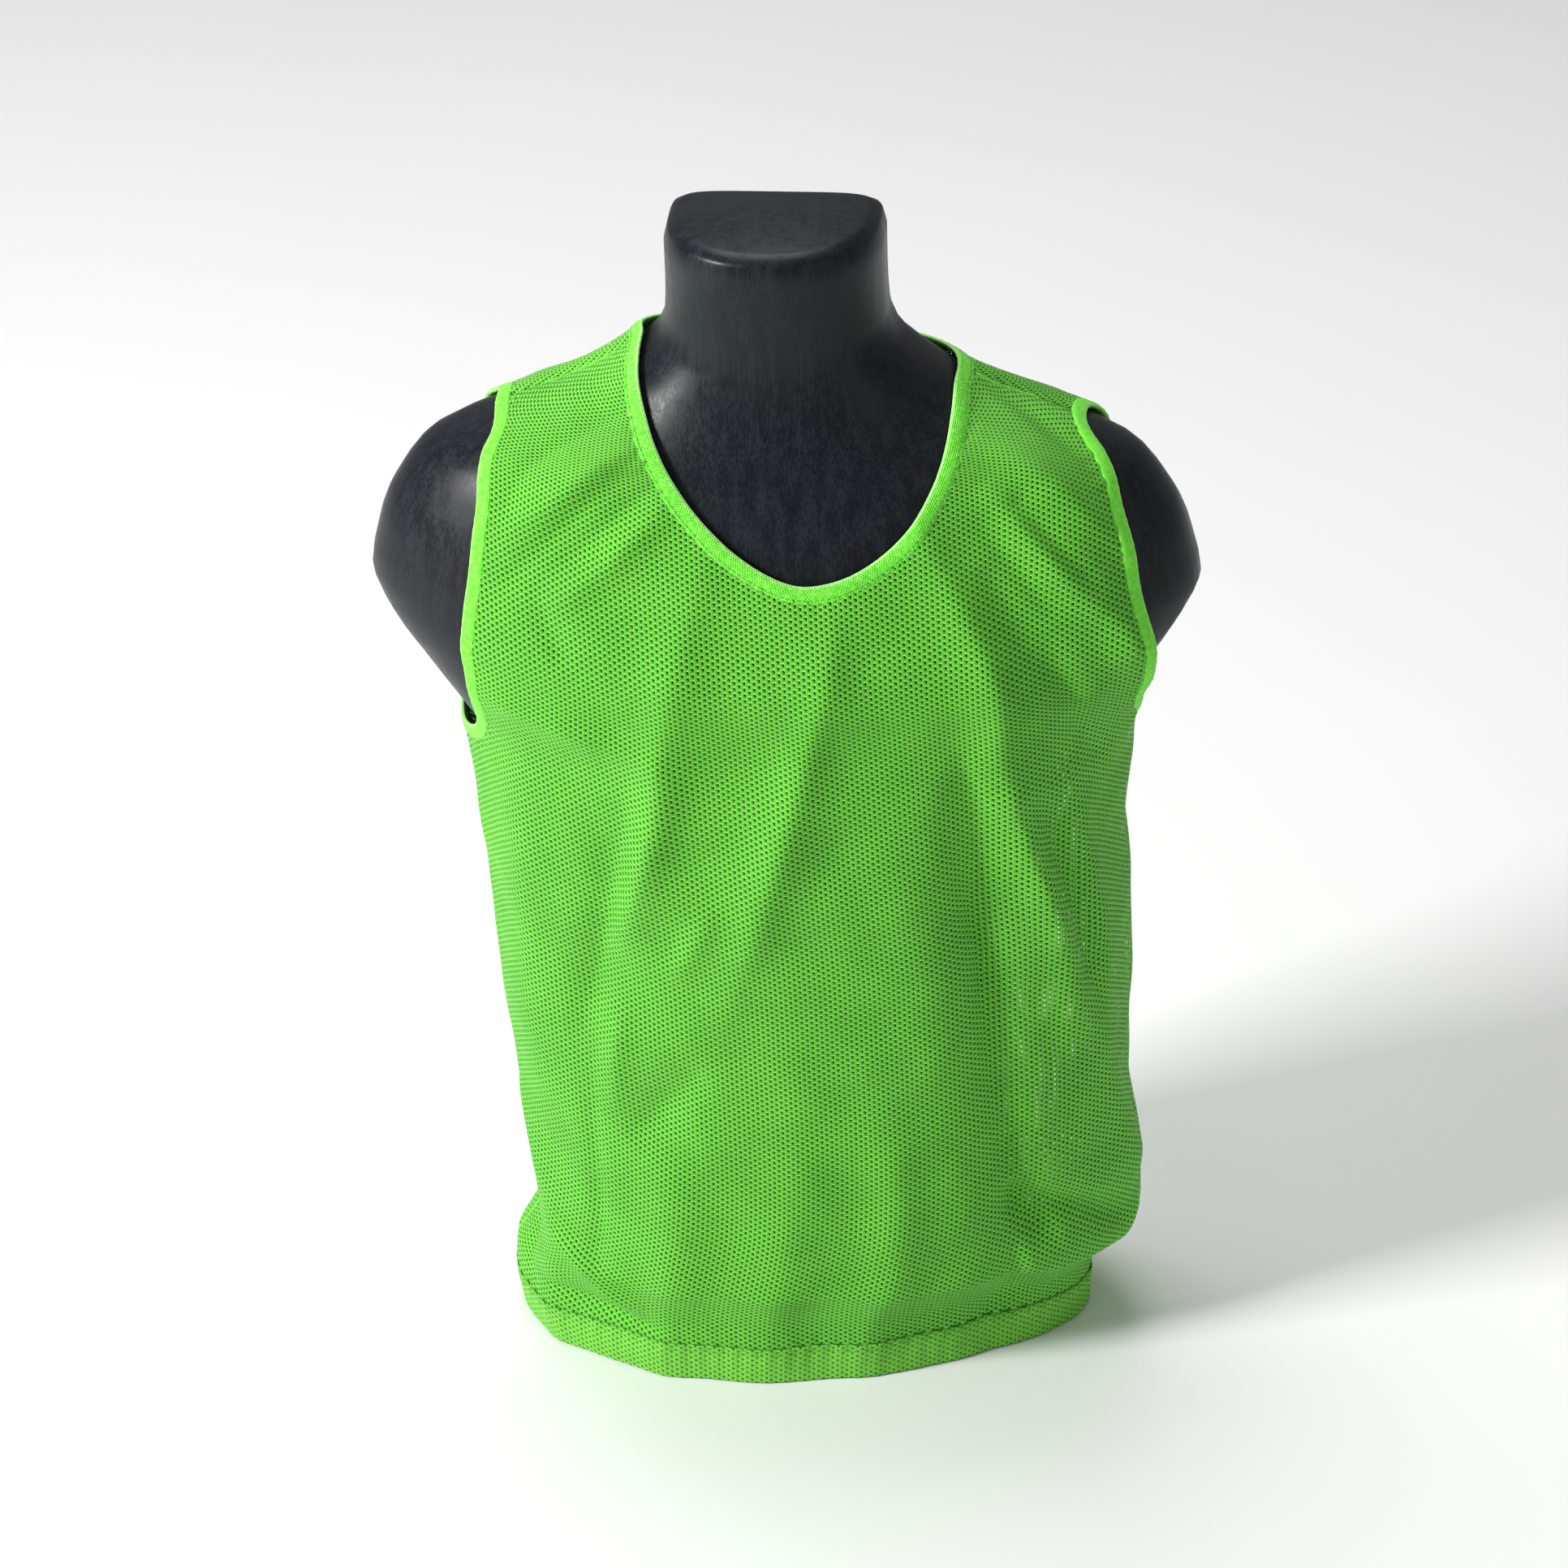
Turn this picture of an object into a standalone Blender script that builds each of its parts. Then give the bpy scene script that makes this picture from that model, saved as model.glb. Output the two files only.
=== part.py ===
"""A mesh training bib worn by a torso dress form.

The garment is worked out from sections: rings round the body, one row for each height. A place
on it is given by its turn and its height. The turn is -1 at the left side seam, 0 at the front,
1 at the right side seam and 2 at the back, and 3 is the left side seam again. Left and right are
as seen from the front, which faces -Y. Lengths are in millimetres until a mesh is made.
"""

import math

import bmesh
import bpy
import numpy as np
from mathutils import Vector
from mathutils.geometry import delaunay_2d_cdt

MM = 0.001
PANEL_WALL = 1.6
SEAM_GAP = 0.3
NECK_BINDING_WIDTH = 10.0
ARMHOLE_BINDING_WIDTH = 9.0
HEM_DEPTH = 25.0
HEM_LIFT = 0.8
STRAP_STEPS = 6
NECK_STEPS = {"front": 24, "back": 14}
SIDE_STEPS = 24
FOOT_STEPS = 30
ARMHOLE_STEPS = 13
EDGE_DETAIL = 80
PANEL_SPACING = 16.0
FORM_STEPS = (9, 8)
FORM_RING_SPACING = 30.0

# The dress form. side is how far back its widest point lies. round_front and round_back are 2
# for an ellipse and more for squarer corners.
FORM_COLUMNS = ("height", "half_width", "front", "back", "side", "round_front", "round_back")
FORM_SECTIONS = (
    (0, 121, -80, 59, 0, 2.3, 2.8),
    (4, 124, -83, 62, 0, 2.3, 2.8),
    (60, 122, -83, 63, 0, 2.3, 2.8),
    (150, 122, -88, 66, 0, 2.3, 2.8),
    (250, 132, -99, 72, 0, 2.4, 2.8),
    (330, 144, -110, 79, 0, 2.5, 2.8),
    (375, 152, -115, 83, 0, 2.6, 2.8),
    (396, 161, -116, 84, 0, 2.5, 2.7),
    (412, 178, -115.5, 84, 0, 2.3, 2.6),
    (432, 195, -114, 83, 0, 2.15, 2.5),
    (455, 213, -112, 82, 0, 2.05, 2.4),
    (480, 230, -109, 80, 0, 2.0, 2.3),
    (500, 236, -105, 77, 0, 2.0, 2.3),
    (520, 232, -101, 74, 0, 2.0, 2.3),
    (540, 226, -96, 71, 0, 2.0, 2.3),
    (558, 216, -91, 67, 0, 2.0, 2.3),
    (573, 205, -86, 62, 0, 2.0, 2.3),
    (584, 190, -81, 58, 0, 2.0, 2.3),
    (592, 171, -78, 54, 0, 2.0, 2.3),
    (601.5, 146, -74, 49, 0, 2.0, 2.4),
    (614, 115, -70, 43, 0, 2.0, 2.6),
    (626, 94, -67, 38, -2, 2.1, 3.0),
    (637, 78, -65, 33, -3, 2.2, 3.6),
    (648, 67, -64, 29, -4, 2.2, 4.5),
    (662, 62, -65, 27, -5, 2.2, 5.5),
    (685, 61, -69, 26, -5, 2.2, 6.0),
    (706, 61, -74, 26, -5, 2.2, 6.0),
    (714, 59, -73.5, 25, -5, 2.2, 6.0),
    (718, 56, -70.5, 22.5, -5, 2.2, 5.5),
    (720, 51, -65, 18, -5, 2.2, 5.0),
)
# Each shoulder stump ends in a flat face that leans in towards the armpit.
STUMP_TOP = (236.0, 500.0)
STUMP_LEAN = 0.72
STUMP_LOW = 405.0
CUTTER_SIZE = 300.0

# The garment's outer face. crest is where its front comes furthest forward.
BIB_COLUMNS = (
    "height", "left", "right", "front", "back", "side", "crest",
    "round_left", "round_right", "round_back",
)
BIB_SECTIONS = (
    (0, -172, 171, -93, 92, 4, -27, 1.9, 1.7, 2.3),
    (25, -175, 173, -94, 93, 4, -26, 1.9, 1.7, 2.3),
    (40, -174, 176, -95, 94, 3, -25, 1.9, 1.75, 2.3),
    (52, -168, 186, -96, 94, 2, -23, 2.0, 1.85, 2.3),
    (64, -162, 200, -98, 95, 1, -20, 2.0, 1.95, 2.3),
    (80, -159, 204, -99, 96, 0, -16, 2.1, 1.95, 2.3),
    (110, -161, 203, -102, 97, 0, -10, 2.1, 1.95, 2.3),
    (170, -167, 196, -107, 98, 0, -5, 2.1, 2.0, 2.3),
    (240, -174, 197, -113, 99, 0, -2, 2.1, 2.0, 2.3),
    (300, -177, 197, -118, 98, 0, 0, 2.1, 2.0, 2.3),
    (350, -182, 194, -122, 96, 0, 0, 2.1, 2.0, 2.3),
    (385, -185, 198, -122, 94, 0, 0, 2.1, 2.0, 2.3),
    (410, -189, 200, -121, 92, 0, 0, 2.1, 2.1, 2.3),
    (428, -199, 205, -120, 90, 0, 0, 2.1, 2.1, 2.3),
    (446, -217, 217, -118, 88, 0, 0, 2.1, 2.1, 2.3),
    (465, -232, 234, -116, 86, 0, 0, 2.05, 2.05, 2.3),
    (485, -240, 242, -112, 83, 0, 0, 2.05, 2.05, 2.3),
    (503, -239, 240, -108, 80.5, 0, 0, 2.05, 2.05, 2.3),
    (523, -235, 236, -104, 77.5, 0, 0, 2.05, 2.05, 2.3),
    (543, -229, 229, -99.5, 74.5, 0, 0, 2.05, 2.05, 2.3),
    (561, -219, 219, -94.5, 70.5, 0, 0, 2.05, 2.05, 2.3),
    (576, -208, 208, -89.5, 65.5, 0, 0, 2.05, 2.05, 2.3),
    (587, -193, 193, -84.5, 61.5, 0, 0, 2.05, 2.05, 2.3),
    (595, -174, 174, -81.5, 57.5, 0, 0, 2.05, 2.05, 2.3),
    (604.5, -149, 149, -77.5, 52.5, 0, 0, 2.05, 2.05, 2.4),
    (617, -118, 118, -73.5, 46.5, 0, 0, 2.05, 2.05, 2.6),
    (629, -97, 97, -70.5, 41.5, -2, 0, 2.1, 2.1, 3.0),
    (640, -81, 81, -68.5, 36.5, -3, 0, 2.2, 2.2, 3.6),
    (651, -70, 70, -67.5, 32.5, -4, 0, 2.2, 2.2, 4.5),
)

# The scoop of the front neck: how far it runs to each side of its low point, how far up, and
# how round that half is. The back neck runs level between the same two shoulder points.
NECK_LOW = (20.0, 535.5)
NECK_COLUMNS = ("side", "across", "rise", "roundness")
NECK_HALVES = (
    ("left", -96.0, 109.5, 1.55),
    ("right", 80.0, 91.5, 1.9),
)
BACK_NECK_SAG = 4.0

# Each armhole: its two ends on the side seam line, then how far it bites in at the front and
# the back, as a share of that quarter of the ring, and how square the bite is.
ARMHOLE_COLUMNS = (
    "side", "low", "high", "front_bite", "front_square", "back_bite", "back_square",
)
ARMHOLES = (
    ("left", 409.0, 600.0, 0.37, 2.8, 0.31, 2.5),
    ("right", 428.0, 596.0, 0.24, 2.35, 0.27, 2.4),
)

# The largest folds, each along a curve through three places. rise is above the smooth section,
# or below it where negative, and width is the reach of the fold to each side.
FOLD_COLUMNS = (
    "turn_1", "height_1", "turn_2", "height_2", "turn_3", "height_3", "rise", "width",
)
FOLDS = (
    (0.13, 530, 0.07, 430, -0.14, 250, 5, 17),
    (-0.12, 560, -0.24, 421, -0.40, 290, 5, 17),
    (-0.34, 400, -0.45, 300, -0.56, 215, -6, 16),
    (-0.56, 440, -0.66, 320, -0.70, 150, 5, 22),
    (0.42, 420, 0.52, 230, 0.66, -20, -9, 16),
    (0.47, 480, 0.62, 310, 0.76, 140, 6, 18),
    (0.30, 590, 0.42, 490, 0.58, 370, 4, 14),
    (0.58, 575, 0.70, 500, 0.90, 400, 5, 15),
    (0.63, 606, 0.68, 572, 0.80, 520, 4, 13),
    (-0.42, 612, -0.48, 586, -0.60, 545, 4, 12),
    (-0.28, 592, -0.40, 560, -0.60, 520, 4, 12),
    (0.57, 125, 0.75, 103, 0.92, 75, -6, 13),
    (-0.88, 170, -0.72, 80, -0.60, -60, 5, 18),
    (-0.30, 160, -0.26, 60, -0.26, -60, 4, 20),
    (0.28, 200, 0.30, 80, 0.33, -60, 4, 20),
    (1.30, 400, 1.34, 200, 1.38, -80, 9, 24),
    (1.62, 460, 1.66, 220, 1.70, -80, 8, 22),
    (1.98, 480, 2.00, 230, 2.02, -80, 10, 26),
    (2.32, 450, 2.36, 220, 2.34, -80, 8, 22),
    (2.62, 400, 2.66, 200, 2.68, -80, 9, 24),
)


class Sections:
    """Rows of sizes by height, read as smooth curves."""

    def __init__(self, rows, names):
        self.heights = np.array([row[0] for row in rows], float)
        self.curves = {}
        for place, name in enumerate(names[1:], start=1):
            values = np.array([row[place] for row in rows], float)
            self.curves[name] = (values, self.slopes(values))

    def slopes(self, values):
        """Slope at each row for a cubic that never overshoots the rows."""
        gap = np.diff(self.heights)
        rise = np.diff(values) / gap
        slope = np.zeros(len(values))
        slope[0], slope[-1] = rise[0], rise[-1]
        for i in range(1, len(values) - 1):
            before, after = rise[i - 1], rise[i]
            if before * after > 0:
                near = 2 * gap[i] + gap[i - 1]
                far = gap[i] + 2 * gap[i - 1]
                slope[i] = (near + far) / (near / before + far / after)
        return slope

    def at(self, name, height):
        values, slopes = self.curves[name]
        height = np.clip(height, self.heights[0], self.heights[-1])
        i = np.searchsorted(self.heights, height, side="right") - 1
        i = np.clip(i, 0, len(self.heights) - 2)
        gap = self.heights[i + 1] - self.heights[i]
        x = (height - self.heights[i]) / gap
        start = values[i] * (1 + 2 * x) * (1 - x) ** 2 + slopes[i] * gap * x * (1 - x) ** 2
        end = values[i + 1] * x**2 * (3 - 2 * x) - slopes[i + 1] * gap * x**2 * (1 - x)
        return start + end


FORM = Sections(FORM_SECTIONS, FORM_COLUMNS)
BIB = Sections(BIB_SECTIONS, BIB_COLUMNS)
CORNER_ANGLES = np.linspace(0.0, math.pi / 2, 49)


def unit_corner(angle, power):
    """A rounded corner of size 1: along is 1 at the side, out is 1 at the crest."""
    cosine = np.abs(np.cos(angle))
    sine = np.abs(np.sin(angle))
    reach = (cosine**power + sine**power) ** (-1.0 / power)
    return cosine * reach, sine * reach


def corner_run(across, deep, power):
    """Length along a corner up to each of its angles."""
    along, out = unit_corner(CORNER_ANGLES[None, :], power[:, None])
    steps = np.hypot(np.diff(across[:, None] * along), np.diff(deep[:, None] * out))
    return np.concatenate([np.zeros((len(power), 1)), np.cumsum(steps, axis=1)], axis=1)


def corner(share, across, deep, power):
    """along and out at a share of a corner's length, 0 at the side and 1 at the crest."""
    run = corner_run(across, deep, power)
    want = np.clip(share, 0.0, 1.0) * run[:, -1]
    i = np.clip((run <= want[:, None]).sum(axis=1) - 1, 0, len(CORNER_ANGLES) - 2)
    row = np.arange(len(share))
    part = (want - run[row, i]) / (run[row, i + 1] - run[row, i])
    return unit_corner(CORNER_ANGLES[i] + part * CORNER_ANGLES[1], power)


def quarter(turn, height):
    """The quarter of the ring that holds each place: where it starts, its sizes and its power."""
    turn = (turn + 1.0) % 4.0 - 1.0
    in_front = turn <= 1.0
    on_left = (turn < 0) | (turn > 2)
    left, right = BIB.at("left", height), BIB.at("right", height)
    middle = np.where(in_front, BIB.at("crest", height), (left + right) / 2)
    reach = np.where(on_left, left, right) - middle
    side = BIB.at("side", height)
    deep = np.where(in_front, BIB.at("front", height), BIB.at("back", height)) - side
    front_power = np.where(on_left, BIB.at("round_left", height), BIB.at("round_right", height))
    power = np.where(in_front, front_power, BIB.at("round_back", height))
    share = 1 - np.abs(np.where(in_front, turn, 2.0 - turn))
    return share, middle, side, reach, deep, power


def half_length(middle, offset, height):
    """Length of the ring from a panel's middle to its seam, on the side of the offset's sign."""
    turn = middle + 0.5 * np.sign(offset)
    _, _, _, reach, deep, power = quarter(turn.ravel(), height.ravel())
    return corner_run(np.abs(reach), np.abs(deep), power)[:, -1].reshape(turn.shape)


def smooth_point(turn, height):
    """Points of the garment's outer face, before its folds."""
    turn, height = np.broadcast_arrays(np.asarray(turn, float), np.asarray(height, float))
    shape = turn.shape
    height = height.ravel()
    share, middle, side, reach, deep, power = quarter(turn.ravel(), height)
    along, out = corner(share, np.abs(reach), np.abs(deep), power)
    points = np.stack([middle + reach * along, side + deep * out, height], axis=-1)
    return points.reshape(shape + (3,))


def slopes_at(surface, turn, height):
    """The surface's change with turn and with height, by small steps to both sides."""
    step_turn, step_height = 0.012, 1.5
    by_turn = surface(turn + step_turn, height) - surface(turn - step_turn, height)
    by_height = surface(turn, height + step_height) - surface(turn, height - step_height)
    return by_turn / (2 * step_turn), by_height / (2 * step_height)


def normal_at(surface, turn, height):
    by_turn, by_height = slopes_at(surface, turn, height)
    normal = np.cross(by_turn, by_height)
    return normal / np.linalg.norm(normal, axis=-1, keepdims=True)


def fold_path(fold):
    """A fold's curve through its three places, as points on the smooth face."""
    turns, heights = np.array(fold[0:6:2], float), np.array(fold[1:6:2], float)
    at = np.linspace(0.0, 1.0, 15)
    weights = np.stack([2 * (at - 0.5) * (at - 1), 4 * at * (1 - at), 2 * at * (at - 0.5)], axis=1)
    return smooth_point(weights @ turns, weights @ heights)


def fold_rise(points):
    """How far the folds lift each point of the smooth face."""
    total = np.zeros(len(points))
    for fold in FOLDS:
        rise, width = fold[6:8]
        path = fold_path(fold)
        nearest = np.full(len(points), 1e9)
        along = np.zeros(len(points))
        pieces = len(path) - 1
        for i in range(pieces):
            run = path[i + 1] - path[i]
            part = np.clip((points - path[i]) @ run / (run @ run), 0.0, 1.0)
            gap = np.linalg.norm(points - path[i] - part[:, None] * run, axis=1)
            closer = gap < nearest
            nearest = np.where(closer, gap, nearest)
            along = np.where(closer, (i + part) / pieces, along)
        fade = np.sin(math.pi * along) ** 0.7
        total += rise * fade * np.exp(-((nearest / width) ** 2))
    return total


def cloth_point(turn, height):
    """Points of the garment's outer face, folds and all."""
    turn, height = np.broadcast_arrays(np.asarray(turn, float), np.asarray(height, float))
    shape = turn.shape
    turn, height = turn.ravel(), height.ravel()
    points = smooth_point(turn, height)
    rise = fold_rise(points)
    points = points + normal_at(smooth_point, turn, height) * rise[:, None]
    return points.reshape(shape + (3,))


def cloth_normal(turn, height):
    return normal_at(cloth_point, turn, height)


def shift(turn, height, direction, distance, pieces=4):
    """Walks over the face from each place, a distance in a direction, and gives the new place."""
    turn, height = turn.copy(), height.copy()
    for _ in range(pieces):
        by_turn, by_height = slopes_at(smooth_point, turn, height)
        aim = direction * distance / pieces
        a = (by_turn * by_turn).sum(-1)
        b = (by_turn * by_height).sum(-1)
        c = (by_height * by_height).sum(-1)
        p = (by_turn * aim).sum(-1)
        q = (by_height * aim).sum(-1)
        turn += (c * p - b * q) / (a * c - b * b)
        height += (a * q - b * p) / (a * c - b * b)
    return turn, height


def turn_of(across, height):
    """The turn on the front face at which the smooth section has this X."""
    low, high = np.full(len(across), -1.0), np.full(len(across), 1.0)
    for _ in range(30):
        middle = (low + high) / 2
        under = smooth_point(middle, height)[:, 0] < across
        low = np.where(under, middle, low)
        high = np.where(under, high, middle)
    return (low + high) / 2


def spaced(turn, height, count):
    """Places at even distances along an open line of places."""
    points = smooth_point(turn, height)
    run = np.append(0.0, np.cumsum(np.linalg.norm(np.diff(points, axis=0), axis=1)))
    at = np.linspace(0.0, run[-1], count + 1)
    return np.interp(at, run, turn), np.interp(at, run, height)


def neck_edge():
    """Places round the neck hole: the front from left to right, then the back to the left."""
    angle = np.linspace(0.0, math.pi, EDGE_DETAIL + 1)
    x, z = np.zeros(len(angle)), np.zeros(len(angle))
    for name, across, rise, power in NECK_HALVES:
        chosen = angle <= math.pi / 2 if name == "left" else angle > math.pi / 2
        along, out = unit_corner(angle[chosen], power)
        x[chosen] = NECK_LOW[0] + across * along
        z[chosen] = NECK_LOW[1] + rise * (1 - out)
    turn = turn_of(x, z)
    turn[0], turn[-1] = -1.0, 1.0
    front = spaced(turn, z, NECK_STEPS["front"])
    part = np.linspace(0.0, 1.0, EDGE_DETAIL + 1)
    height = z[-1] + (z[0] - z[-1]) * part - BACK_NECK_SAG * np.sin(math.pi * part)
    back = spaced(1.0 + 2.0 * part, height, NECK_STEPS["back"])
    return tuple(np.append(f, b[1:-1]) for f, b in zip(front, back))


def armhole_edge(name):
    """Places round an armhole: up the front from the side seam, then down the back."""
    row = dict(zip(ARMHOLE_COLUMNS, next(row for row in ARMHOLES if row[0] == name)))
    seam, inward = (-1.0, 1.0) if name == "left" else (1.0, -1.0)
    angle = np.linspace(-math.pi / 2, math.pi / 2, EDGE_DETAIL + 1)
    middle, half = (row["low"] + row["high"]) / 2, (row["high"] - row["low"]) / 2
    turns, heights = [], []
    for panel, way in (("front", inward), ("back", -inward)):
        up, bite = unit_corner(math.pi / 2 - np.abs(angle), row[panel + "_square"])
        height = middle + half * up * np.sign(angle)
        turn = seam + way * row[panel + "_bite"] * bite
        turn, height = spaced(turn, height, ARMHOLE_STEPS)
        if panel == "back":
            turn, height = turn[::-1], height[::-1]
        turns.append(turn[:-1])
        heights.append(height[:-1])
    return np.concatenate(turns), np.concatenate(heights)


def outward(turn, height):
    """Direction on the face, away from the hole, at each place of a closed edge."""
    points = smooth_point(turn, height)
    tangent = np.roll(points, -1, axis=0) - np.roll(points, 1, axis=0)
    away = np.cross(normal_at(smooth_point, turn, height), tangent)
    away /= np.linalg.norm(away, axis=-1, keepdims=True)
    spread = ((points - points.mean(axis=0)) * away).sum()
    return away if spread > 0 else -away


def widened(edge, distance):
    """The closed edge, moved away from its hole over the face."""
    return shift(edge[0], edge[1], outward(*edge), distance)


def off_seam(turn, height, seam):
    """The seam's place, stepped half the seam gap into the panel that holds this turn."""
    by_turn, _ = slopes_at(smooth_point, np.array([seam]), np.array([height]))
    step = SEAM_GAP / 2 / np.linalg.norm(by_turn)
    return seam + math.copysign(step, turn - seam)


def neck_side(panel):
    """The top of a panel at the neck, from its first seam to its second."""
    turn, height = widened(neck_edge(), NECK_BINDING_WIDTH + SEAM_GAP)
    count = NECK_STEPS["front"]
    if panel == "front":
        return turn[: count + 1], height[: count + 1]
    return np.append(turn[count:], turn[0] + 4.0), np.append(height[count:], height[0])


def armhole_side(panel, name):
    """The part of an armhole that lies in a panel, from its low end to its tip."""
    turn, height = widened(armhole_edge(name), ARMHOLE_BINDING_WIDTH + SEAM_GAP)
    if panel == "front":
        return turn[: ARMHOLE_STEPS + 1], height[: ARMHOLE_STEPS + 1]
    turn = np.append(turn[ARMHOLE_STEPS:], turn[0])[::-1]
    height = np.append(height[ARMHOLE_STEPS:], height[0])[::-1]
    return (turn + 4.0 if name == "left" else turn), height


def foot_turns(panel):
    """The turns along a panel's foot, from its first seam to its second."""
    middle = 0.0 if panel == "front" else 2.0
    return np.linspace(middle - 1, middle + 1, FOOT_STEPS + 1)


def panel_edge(panel):
    """Places round a panel: its foot, its second side, its neck edge and its first side.

    The front runs from turn -1 to 1 and the back from 1 to 3, so both read the same way."""
    middle = 0.0 if panel == "front" else 2.0
    names = ("left", "right") if panel == "front" else ("right", "left")
    foot = HEM_LIFT + HEM_DEPTH + SEAM_GAP
    neck_turn, neck_height = neck_side(panel)
    neck_turn[0], neck_turn[-1] = middle - 1, middle + 1
    sides = []
    for seam, name, top in zip((middle - 1, middle + 1), names, (neck_height[0], neck_height[-1])):
        turn, height = armhole_side(panel, name)
        turn[0] = turn[-1] = seam
        climb = np.linspace(foot, height[0], SIDE_STEPS + 1)[:-1]
        strap = np.linspace(height[-1], top, STRAP_STEPS + 1)[1:]
        turn = np.concatenate([np.full(SIDE_STEPS, seam), turn, np.full(STRAP_STEPS, seam)])
        sides.append((turn, np.concatenate([climb, height, strap])))
    (first_turn, first_height), (second_turn, second_height) = sides
    across = foot_turns(panel)
    turn = np.concatenate([across, second_turn[1:], neck_turn[-2:0:-1], first_turn[:0:-1]])
    height = np.concatenate(
        [np.full(len(across), foot), second_height[1:], neck_height[-2:0:-1], first_height[:0:-1]]
    )
    return turn, height


def into_panel(panel, turn, height):
    """The places with those on the panel's seams stepped off them, half the seam gap inwards."""
    middle = 0.0 if panel == "front" else 2.0
    turn = turn.copy()
    for seam in (middle - 1, middle + 1):
        for i in np.nonzero(np.abs(turn - seam) < 1e-6)[0]:
            turn[i] = off_seam(middle, height[i], seam)
    return turn


def climb_curve():
    """Heights, and the length of the shoulder line up to each of them."""
    heights = np.linspace(0.0, BIB_SECTIONS[-1][0], 400)
    steps = np.hypot(np.diff(heights), np.diff(BIB.at("right", heights)))
    return heights, np.append(0.0, np.cumsum(steps))


def laid_flat(turn, height, middle):
    """Places of a panel laid flat: distance round from the middle, and distance up."""
    across = (turn - middle) * half_length(middle, turn - middle, height)
    return np.stack([across, np.interp(height, *climb_curve())], axis=1)


def inside_points(edge, spacing):
    """An even lattice of points inside a flat edge, none of them close to it."""
    low, high = edge.min(axis=0), edge.max(axis=0)
    rows = np.arange(low[1], high[1], spacing * math.sin(math.pi / 3))
    columns = np.arange(low[0], high[0], spacing)
    lattice = []
    for i, climb in enumerate(rows):
        shift_by = spacing / 2 * (i % 2)
        lattice.append(np.stack([columns + shift_by, np.full(len(columns), climb)], axis=1))
    points = np.concatenate(lattice)
    crossings = np.zeros(len(points), int)
    nearest = np.full(len(points), 1e9)
    for a, b in zip(edge, np.roll(edge, -1, axis=0)):
        run = b - a
        part = np.clip((points - a) @ run / (run @ run), 0.0, 1.0)
        nearest = np.minimum(nearest, np.linalg.norm(points - a - part[:, None] * run, axis=1))
        if a[1] != b[1]:
            level = (a[1] > points[:, 1]) != (b[1] > points[:, 1])
            meets = a[0] + (points[:, 1] - a[1]) / run[1] * run[0]
            crossings += level & (points[:, 0] < meets)
    return points[(crossings % 2 == 1) & (nearest > 0.55 * spacing)]


def panel_places(panel):
    """Places all over a panel, its edge first, and the triangles between them."""
    middle = 0.0 if panel == "front" else 2.0
    edge_turn, edge_height = panel_edge(panel)
    edge = laid_flat(edge_turn, edge_height, middle)
    inner = inside_points(edge, PANEL_SPACING)
    flat = [Vector(point) for point in np.concatenate([edge, inner]).tolist()]
    found = delaunay_2d_cdt(flat, [], [tuple(range(len(edge)))], 1, 1e-6)
    source = [origins[0] for origins in found[3]]
    triangles = [tuple(source[i] for i in face) for face in found[2]]
    height = np.interp(inner[:, 1], *climb_curve()[::-1])
    turn = middle + inner[:, 0] / half_length(middle, inner[:, 0], height)
    turn = np.concatenate([into_panel(panel, edge_turn, edge_height), turn])
    return turn, np.concatenate([edge_height, height]), triangles, len(edge)


def plastic(name, colour, roughness):
    """A material with its colour and roughness, no metal."""
    made = bpy.data.materials.new(name)
    made.use_nodes = True
    shader = made.node_tree.nodes["Principled BSDF"]
    shader.inputs["Base Color"].default_value = (*colour, 1.0)
    shader.inputs["Roughness"].default_value = roughness
    shader.inputs["Metallic"].default_value = 0.0
    return made


def new_object(name, points, faces, material, collection):
    mesh = bpy.data.meshes.new(name)
    mesh.from_pydata((np.asarray(points) * MM).tolist(), [], faces)
    mesh.validate()
    mesh.materials.append(material)
    mesh.shade_smooth()
    mesh.set_sharp_from_angle(angle=math.radians(40))
    made = bpy.data.objects.new(name, mesh)
    collection.objects.link(made)
    return made


def panel_wall(panel, material, collection):
    """A panel of cloth: its outer face, the same face one wall further in, and the rim."""
    turn, height, triangles, rim = panel_places(panel)
    outer = cloth_point(turn, height)
    inner = outer - cloth_normal(turn, height) * PANEL_WALL
    count = len(turn)
    faces = list(triangles)
    faces += [tuple(i + count for i in reversed(face)) for face in triangles]
    for a in range(rim):
        b = (a + 1) % rim
        faces.append((b, a, a + count, b + count))
    points = np.concatenate([outer, inner])
    return new_object(panel + "_panel", points, faces, material, collection)


# A strip's cross section: share of its width, and height above the face of the panel.
BINDING_SECTION = ((0.0, -0.8), (0.15, 0.9), (0.85, 0.9), (1.0, -0.8), (0.85, -2.4), (0.15, -2.4))
HEM_SECTION = ((0.0, 0.5), (1.0, 0.5), (1.0, -2.1), (0.0, -2.1))


def strip_wall(name, lines, section, closed, material, collection):
    """A strip swept along lines of places, one line for each share of its width."""
    rings = []
    for (turn, height), (_, above) in zip(lines, section):
        rings.append(cloth_point(turn, height) + cloth_normal(turn, height) * above)
    points = np.stack(rings, axis=1)
    length, around = points.shape[:2]
    faces = []
    for i in range(length if closed else length - 1):
        j = (i + 1) % length
        for k in range(around):
            m = (k + 1) % around
            faces.append((i * around + k, j * around + k, j * around + m, i * around + m))
    if not closed:
        faces.append(tuple(range(around)))
        faces.append(tuple((length - 1) * around + k for k in range(around - 1, -1, -1)))
    made = new_object(name, points.reshape(-1, 3), faces, material, collection)
    shape = bmesh.new()
    shape.from_mesh(made.data)
    bmesh.ops.recalc_face_normals(shape, faces=shape.faces)
    shape.to_mesh(made.data)
    shape.free()
    return made


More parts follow.
